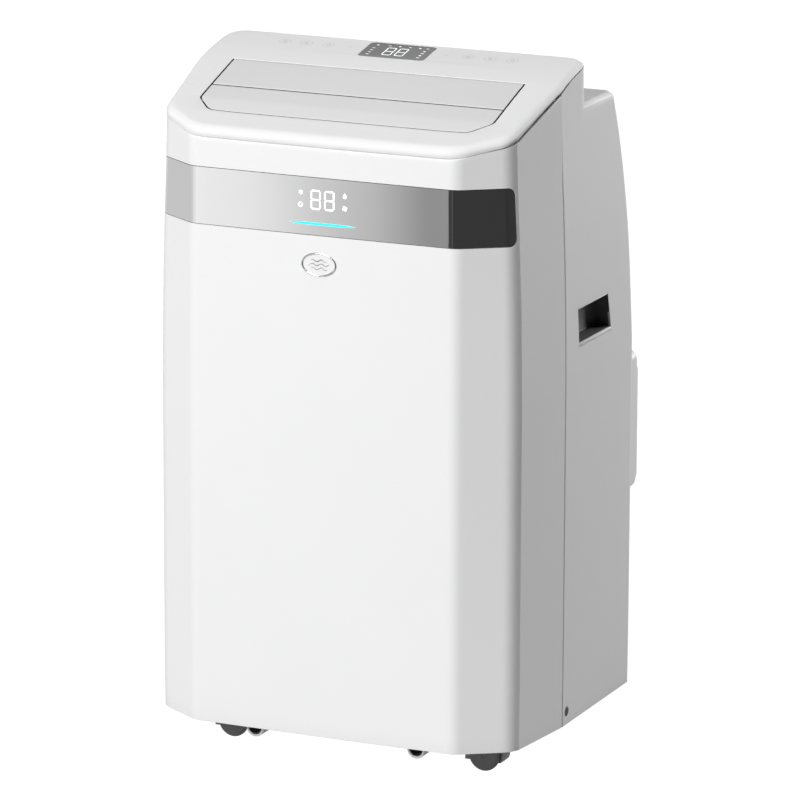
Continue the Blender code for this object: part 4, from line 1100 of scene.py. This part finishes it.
def handles():
    z0, z1 = HANDLE_Z
    for side, hand in ((-1, "left"), (1, "right")):
        outer = ((219.6, 1.6, 0, 1.2, 1.5), (212, 1.4, 0.5, 1.2, 2), (199.5, 0.7, 3, 0.4, 2))
        inner = ((222, 0.2, -1.0, 0.3, 1.0), (218, 0.0, 0.0, 0.0, 1.2), (204.4, -0.5, 1.8, -0.4, 1.6),
                 (203.2, -1.3, 2.8, -1.4, 1.6))
        cup = ring_solid("grip_cup_" + hand, grip_rings(side, outer), "grip")
        cut(cup, grip_rings(side, inner))
        shade(cup, 40)
        settle(cup, "cabinet", "dark_plastic", "handle_cup_" + hand)
        strips = [bezel_strip(side, z1 + 0.1, z1 + 1.8), bezel_strip(side, z0 - 3.8, z0 - 0.2)]
        settle(many_solids("grip_bezel_" + hand, strips, "rear"), "cabinet", "white_plastic")


# ---- intake doors
def wrap_back(obj, y_of, stations):
    """Bends an upright piece, whose y is depth, to the curve of the back."""
    def move(co):
        co.y += y_of(co.z / MM) * MM

    return warped(obj, stations, (0, 0, 1), move)


def intake_door(node, body, x0, x1, z0, z1, columns, y_of):
    """Grille with its slots, a finger tab on its top edge and two clips at its foot."""
    plate = ring_solid(node + "_plate", soft_rings(x0, x1, z0, z1, -2.6, 0.0, 3, "y", 4, 0.6), "rear")
    rim, rib, slat, pitch = 9.0, 5.0, 3.6, 8.7
    width = (x1 - x0 - 2 * rim - rib * (columns - 1)) / columns
    rows = int((z1 - z0 - 2 * rim) / pitch)
    start = (z0 + z1) / 2 - rows * pitch / 2 + slat / 2
    holes = []
    for c in range(columns):
        left = x0 + rim + c * (width + rib)
        for r in range(rows):
            low = start + r * pitch
            holes.append(soft_rings(left, left + width, low, low + pitch - slat, -6, 4, 1.6, "y", 2))
    cut(plate, *holes)
    soften(plate, 0.35, 2)
    settle(wrap_back(plate, y_of, steps(440, 700, 20)), body, "white_plastic", node)
    mid = (x0 + x1) / 2
    tab = soft_rings(mid - 16, mid + 16, z1 - 8, z1 - 2.2, -1.0, 2.0, 2.5, "y", 5, 0.8)
    settle(wrap_back(ring_solid(node + "_tab", tab, "rear"), y_of, (z1 - 5,)), body, "white_plastic")
    y = y_of(z0) - 1.3
    clips = []
    for x in (x0 + 20, x1 - 20):
        clips.append(soft_rings(x - 7, x + 7, z0 - 0.4, z0 + 5, y - 3.0, y - 0.6, 1.0, "y", 3))
    settle(many_solids(node + "_clips", clips, "rear"), body, "white_plastic")


def intake_doors():
    intake_door("upper_intake_grille", "upper_intake_door", -175, 175, 453, 699, 3, back_y)
    intake_door("lower_intake_grille", "lower_intake_door", -191, 35, 177, 423, 2, lambda z: REAR_Y)


# ---- exhaust
def at_exhaust(y, profile, sides):
    return turned_rings((EXHAUST_X, y, EXHAUST_Z), "y", profile, sides)


def exhaust():
    rings = soft_rings(50, 213.8, 257.5, 416, REAR_Y + 0.9, 361.2, 12, "y", 12, 0.4)
    house = ring_solid("exhaust_shell", rings)
    join(house, soft_rings(53, 213.6, 265, 401, 358, 365, 9, "y", 12, 0.6))
    cut(house, soft_rings(54, 209.8, 261.5, 412, 325, 357.5, 9, "y", 10))
    cut(house, at_exhaust(350, [(0, 70), (11.5, 70), (13.0, 71.2), (16, 73)], 96))
    paint(house, "rear")
    shade(house, 32)
    settle(house, "cabinet", "white_plastic", "exhaust_housing")
    # Dark ring between the back and the exhaust housing: painted shade in the gap round the housing's foot.
    rings = soft_rings(50.7, 213.1, 258.2, 415.3, REAR_Y - 0.4, REAR_Y + 1.1, 11.3, "y", 12)
    gap_shade_ring = ring_solid("exhaust_gap_shade", rings, "dark")
    cut(gap_shade_ring, at_exhaust(330, [(0, 71), (9, 71)], 96))
    settle(gap_shade_ring, "cabinet", "rubber")
    end = CAD_HIGH.y / MM + Y_SHIFT - 343
    section = [(0, 66), (0, 69), (22.5, 69), (22.5, 73.0), (23.0, 73.5), (25.5, 73.5), (26, 73), (26, 69),
               (29.4, 69), (30.2, 69.7), (31.4, 69.7), (32.2, 69), (end - 0.9, 68.6), (end - 0.2, 68.2),
               (end, 67.6), (end, 66.5), (end - 0.5, 66)]
    collar = ring_solid("collar_ring", at_exhaust(343, section, 96), "dark", closed=True)
    settle(collar, "exhaust_collar", "dark_plastic", "exhaust_collar")
    guard = [at_exhaust(345, [(0, r), (0, r + 2.2), (3, r + 2.2), (3, r)], 64) for r in (17.0, 33.0, 49.0)]
    rings = many_solids("collar_guard_rings", guard, "dark", closed=True)
    settle(rings, "exhaust_collar", "dark_plastic")
    spokes = [at_exhaust(345.2, [(0, 9.0), (3.4, 9.0), (4.4, 7.0)], 32)]
    section = [(7.0, -1.1), (66.6, -1.1), (66.6, 1.1), (7.0, 1.1)]
    for k in range(8):
        a = math.pi / 4 * k + math.pi / 8
        c, s = math.cos(a), math.sin(a)
        spokes.append([[(EXHAUST_X + u * c - v * s, y, EXHAUST_Z + u * s + v * c) for u, v in section]
                       for y in (345.4, 348.8)])
    settle(many_solids("collar_guard_spokes", spokes, "dark"), "exhaust_collar", "dark_plastic")


def rear_fittings():
    for node, (x, z) in (("lower_drain_cap", LOWER_DRAIN), ("upper_drain_cap", UPPER_DRAIN)):
        profile = eased([(0, 6.5), (12, 7.0), (12, 8.6), (14.2, 8.6), (14.5, 12), (17.5, 12), (18.5, 10.5),
                         (18.5, 6.5), (17.6, 5.5), (17.6, 1.0)], 0.5)
        settle(turned(node + "_plug", (x, 320, z), "y", profile, "dark"), node, "dark_plastic", node)
        grip = soft_rings(x - 7, x + 7, z - 1.4, z + 1.4, 336.5, 340.0, 1.2, "y", 4, 0.5)
        settle(ring_solid(node + "_grip", grip, "dark"), node, "dark_plastic")
    section = [(0, 3.4), (0, 8), (8.4, 8), (8.4, 12), (9, 12.6), (11, 12.6), (12, 12), (16, 7.2), (16.4, 6.4),
               (16.4, 3.4)]
    gland = turned("cord_bush", (GLAND[0], 326, GLAND[1]), "y", section, "dark", bore=True)
    settle(gland, "cabinet", "dark_plastic", "cord_gland")
    head = [(0, 1.8), (12.5, 1.8), (12.5, 4.2), (13.2, 4.2), (14.2, 3.4), (14.8, 1.8)]
    for i, (x, z) in enumerate(SCREWS):
        node = "rear_screw_%d" % (i + 1)
        screw = turned(node + "_head", (x, 322, z), "y", head, "steel", 32)
        for a, b in ((1.9, 0.35), (0.35, 1.9)):
            cut(screw, box_rings(x - a, x + a, 335.6, 338, z - b, z + b))
        settle(shade(screw), "cabinet", "steel", node)


# ---- base and castors
def castor(side, y, where):
    """Twin wheel castor: two discs on one axle and the hood that swivels between them."""
    tag = where + ("_left" if side < 0 else "_right")
    x = side * (CASTOR_X + TRAIL)
    z = WHEEL_R
    half = [(-17.0, 2.4), (-17.5, 3.2), (-17.5, 12.0), (-17.3, 14.6), (-16.9, 16.3), (-16.0, WHEEL_R),
            (-13.2, WHEEL_R), (-12.6, 17.2), (-12.3, 16.6), (-12.3, 2.6)]
    profile = half + [(-d, r) for d, r in reversed(half)]
    wheel = turned("castor_discs_" + tag, (x, y, z), "y", profile, "castor", 72)
    settle(wheel, "castor_roll_" + tag, "dark_plastic", "castor_wheel_" + tag)
    low = math.asin((HOOD_CUT - z) / HOOD_R)
    crown = [(x + HOOD_R * math.cos(t), z + HOOD_R * math.sin(t)) for t in steps(low, math.pi - low, 36)]
    y0, y1 = y - HOOD_HALF, y + HOOD_HALF
    hood = ring_solid("castor_shroud_" + tag, [[(a, b, c) for a, c in crown] for b in (y0, y1)])
    soften(hood, 1.0, 3, 60)
    cut(hood, turned_rings((x, y - 14, z), "y", [(0, 3.0), (28, 3.0)], 24))
    pin = [(0, 5.4), (12, 5.4), (12, 8.5), (16, 8.5), (16.4, 8.1), (16.4, 4.8), (43, 4.8), (44, 4.0)]
    join(hood, turned_rings((side * CASTOR_X, y, 24), "z", pin, 36))
    join(hood, box_rings(x - 24.0, x - 15.0, y0, y1, 9.4, 20.0))
    shade(hood, 35)
    paint(hood, "hood")
    settle(hood, "castor_swivel_" + tag, "dark_plastic", "castor_hood_" + tag)


def castors():
    for y, where in zip(CASTOR_Y, ("front", "rear")):
        for side in (-1, 1):
            castor(side, y, where)


def sockets():
    """Two open tubes under the front of the base, each with a dark lining: painted shade inside its bore."""
    tube = [(0, 7.9), (0, 9.8), (0.5, 10.4), (28.4, 10.4), (28.4, 7.9)]
    bore_shade = [(0, 6.9), (0, 7.85), (22, 7.85), (22, 6.9)]
    parts = (("base_socket_", 34.9, tube, "socket"), ("base_socket_bore_shade_", 35.7, bore_shade, "grip"))
    for hand, x in SOCKET_X.items():
        for name, y, section, look in parts:
            piece = turned(name + hand, (x, y, SOCKET_Z), "y", section, look, bore=True)
            settle(piece, "cabinet", "inner_plastic")


# ---- CAD nodes that stay
KEPT = {
    "inner": ("base_pan", "condensate_sump", "condenser_scroll"),
    "dark": ("outlet_duct", "side_screw_left", "side_screw_right"),
    "mesh": ("upper_filter", "lower_filter"),
    "louvre": ("evaporator_wheel", "condenser_wheel", "slinger_wheel"),
    "steel": ("louvre_motor", "evaporator_motor", "condenser_motor", "slinger_motor", "control_box"),
    "rubber": ("rear_foot_left", "rear_foot_right", "compressor_mount"),
    "fins": ("evaporator_coil", "condenser_coil"),
    "foam": ("evaporator_scroll", "drip_tray"),
    "enamel": ("compressor", "accumulator"),
    "copper": ("discharge_pipe", "suction_pipe", "filter_drier"),
    "board": ("front_display_board", "control_board"),
}


def dress_kept_nodes():
    for look, nodes in KEPT.items():
        for node in nodes:
            paint(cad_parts[node], look)


# ---- studio
LENS_MM = 264.15
VIEW_AZIMUTH, VIEW_HEIGHT, VIEW_ROLL = 24.1, 14.0, 0.186
VIEW_AIM = Vector((0.0167, -0.0254, 0.382))
VIEW_REACH = 6.363
LAMP_AIM = Vector((0.0, -0.02, 0.40))
AMBIENT, WHITE, FLOOR_GLOSS = 0.004, 1.05, 0.7


def direction(azimuth, height):
    """Unit vector from the cabinet; azimuth turns from the front to the right."""
    a, h = math.radians(azimuth), math.radians(height)
    return Vector((math.sin(a) * math.cos(h), -math.cos(a) * math.cos(h), math.sin(h)))


def camera():
    data = bpy.data.cameras.new("camera")
    data.lens = LENS_MM
    data.sensor_width = 36.0
    data.clip_start, data.clip_end = 0.1, 60.0
    cam = bpy.data.objects.new("camera", data)
    bpy.context.scene.collection.objects.link(cam)
    away = direction(VIEW_AZIMUTH, VIEW_HEIGHT)
    turn = away.to_track_quat("Z", "Y").to_matrix() @ Matrix.Rotation(math.radians(VIEW_ROLL), 3, "Z")
    cam.matrix_world = Matrix.LocRotScale(VIEW_AIM + away * VIEW_REACH, turn, None)
    bpy.context.scene.camera = cam


def lamp(name, azimuth, height, reach, width, tall, power):
    """Soft rectangular light aimed at the cabinet."""
    data = bpy.data.lights.new(name, "AREA")
    data.shape = "RECTANGLE"
    data.size, data.size_y = width, tall
    data.energy = power
    obj = bpy.data.objects.new(name, data)
    bpy.context.scene.collection.objects.link(obj)
    away = direction(azimuth, height)
    obj.location = LAMP_AIM + away * reach
    obj.rotation_mode = "QUATERNION"
    obj.rotation_quaternion = away.to_track_quat("Z", "Y")


def studio_world():
    """White to the camera, nearly dark to everything else."""
    world = bpy.data.worlds.new("studio")
    bpy.context.scene.world = world
    world.use_nodes = True
    tree = world.node_tree
    tree.nodes.clear()
    mix = tree.nodes.new("ShaderNodeMixShader")
    for slot, strength in ((1, AMBIENT), (2, WHITE)):
        sky = tree.nodes.new("ShaderNodeBackground")
        sky.inputs["Color"].default_value = (1, 1, 1, 1)
        sky.inputs["Strength"].default_value = strength
        tree.links.new(sky.outputs["Background"], mix.inputs[slot])
    path = tree.nodes.new("ShaderNodeLightPath")
    out = tree.nodes.new("ShaderNodeOutputWorld")
    tree.links.new(path.outputs["Is Camera Ray"], mix.inputs["Fac"])
    tree.links.new(mix.outputs["Shader"], out.inputs["Surface"])


def studio_floor():
    """Pale floor: white to the camera, and partly so in reflections."""
    bpy.ops.mesh.primitive_plane_add(size=14.0)
    floor = bpy.context.object
    floor.name = "floor"
    look = Look("floor_paper")
    look.set(Base_Color=(0.25, 0.25, 0.25, 1), Roughness=0.9)
    glow = look.node("ShaderNodeEmission")
    glow.inputs["Strength"].default_value = WHITE
    path = look.node("ShaderNodeLightPath")
    share = look.node("ShaderNodeMath", operation="MULTIPLY_ADD")
    share.inputs[1].default_value = FLOOR_GLOSS
    mix = look.node("ShaderNodeMixShader")
    look.link(path.outputs["Is Glossy Ray"], share.inputs[0])
    look.link(path.outputs["Is Camera Ray"], share.inputs[2])
    look.link(share.outputs["Value"], mix.inputs["Fac"])
    look.link(look.shader.outputs["BSDF"], mix.inputs[1])
    look.link(glow.outputs["Emission"], mix.inputs[2])
    look.link(mix.outputs["Shader"], look.tree.nodes["Material Output"].inputs["Surface"])
    floor.data.materials.append(look.mat)


def card(name, azimuth, spot, width, tall, stops, reach=1.2):
    """Board seen only in reflections from a spot on the band, with its light from left to right."""
    away = direction(azimuth, -VIEW_HEIGHT)
    centre = Vector(spot) + away * reach
    side = Vector((-away.y, away.x, 0.0)).normalized() * width / 2
    rise = away.cross(side.normalized()) * tall / 2
    data = bpy.data.meshes.new(name)
    corners = (centre - side - rise, centre + side - rise, centre + side + rise, centre - side + rise)
    data.from_pydata(corners, [], [(0, 1, 2, 3)])
    layer = data.uv_layers.new(name="across")
    for loop, u in zip(layer.data, ((0, 0), (1, 0), (1, 1), (0, 1))):
        loop.uv = u
    board = bpy.data.objects.new(name, data)
    bpy.context.scene.collection.objects.link(board)
    board.visible_camera = False
    board.visible_diffuse = False
    board.visible_shadow = False
    look = Look(name)
    split = look.node("ShaderNodeSeparateXYZ")
    look.link(look.node("ShaderNodeTexCoord").outputs["UV"], split.inputs[0])
    ramp = look.node("ShaderNodeValToRGB")
    look.link(split.outputs["X"], ramp.inputs["Fac"])
    elements = ramp.color_ramp.elements
    for element, (place, level) in zip(elements, (stops[0], stops[-1])):
        element.position = place
        element.color = (level, level, level, 1)
    for place, level in stops[1:-1]:
        elements.new(place).color = (level, level, level, 1)
    glow = look.node("ShaderNodeEmission")
    look.link(ramp.outputs["Color"], glow.inputs["Color"])
    look.link(glow.outputs["Emission"], look.tree.nodes["Material Output"].inputs["Surface"])
    data.materials.append(look.mat)


# name, azimuth, height, reach, width, tall, power
LAMPS = (
    ("key", -15, 28, 12.0, 3.4, 4.0, 1000),
    ("key_low", -15, 8, 12.0, 3.4, 3.0, 405),
    ("back_right", 152, 14, 6.0, 1.6, 2.4, 310),
    ("overhead", 0, 80, 5.0, 2.4, 2.4, 95),
)
# name, azimuth, spot, width, tall, light from left to right, reach
CARDS = (
    ("front_card", -24.1, (0, -0.19, 0.626), 0.9, 0.8,
     ((0.0, 1.216), (0.28, 1.155), (0.35, 1.101), (0.41, 0.986), (0.47, 0.831), (0.575, 0.642),
      (0.66, 0.378), (0.715, 0.385), (0.735, 0.149), (0.75, 0.068), (1.0, 0.054))),
    ("facet_card", 32.0, (0.18, -0.17, 0.626), 1.65, 0.8, ((0.0, 0.05), (1.0, 0.05))),
    ("corner_card", 85.0, (0.20, -0.15, 0.626), 1.3, 0.8, ((0.0, 0.04), (1.0, 0.05))),
    ("right_kink_card", -6.0, (0.15, -0.175, 0.626), 0.8, 1.0, ((0.0, 0.13), (1.0, 0.06)), 1.7),
    ("left_kink_card", -42.0, (-0.15, -0.175, 0.626), 0.8, 1.0, ((0.0, 0.95), (1.0, 1.1)), 1.7),
    ("left_card", -78.0, (-0.18, -0.17, 0.626), 1.6, 0.8,
     ((0.0, 0.74), (0.55, 0.76), (0.75, 0.86), (1.0, 1.15))),
)


def studio():
    scene = bpy.context.scene
    scene.view_settings.view_transform = "Standard"
    scene.view_settings.look = "None"
    studio_world()
    studio_floor()
    for row in LAMPS:
        lamp(*row)
    for row in CARDS:
        card(*row)
    camera()


def build():
    front_panel()
    front_band()
    front_display()
    front_badge()
    top_cover()
    lens()
    key_prints()
    louvre("louvre_front", LOUVRE_Y[0], LOUVRE_Y[1] - 1.1, True)
    louvre("louvre_rear", LOUVRE_Y[1] + 1.3, LOUVRE_Y[2], False)
    rear_cover()
    handles()
    intake_doors()
    exhaust()
    rear_fittings()
    castors()
    sockets()
    dress_kept_nodes()
    studio()


build()
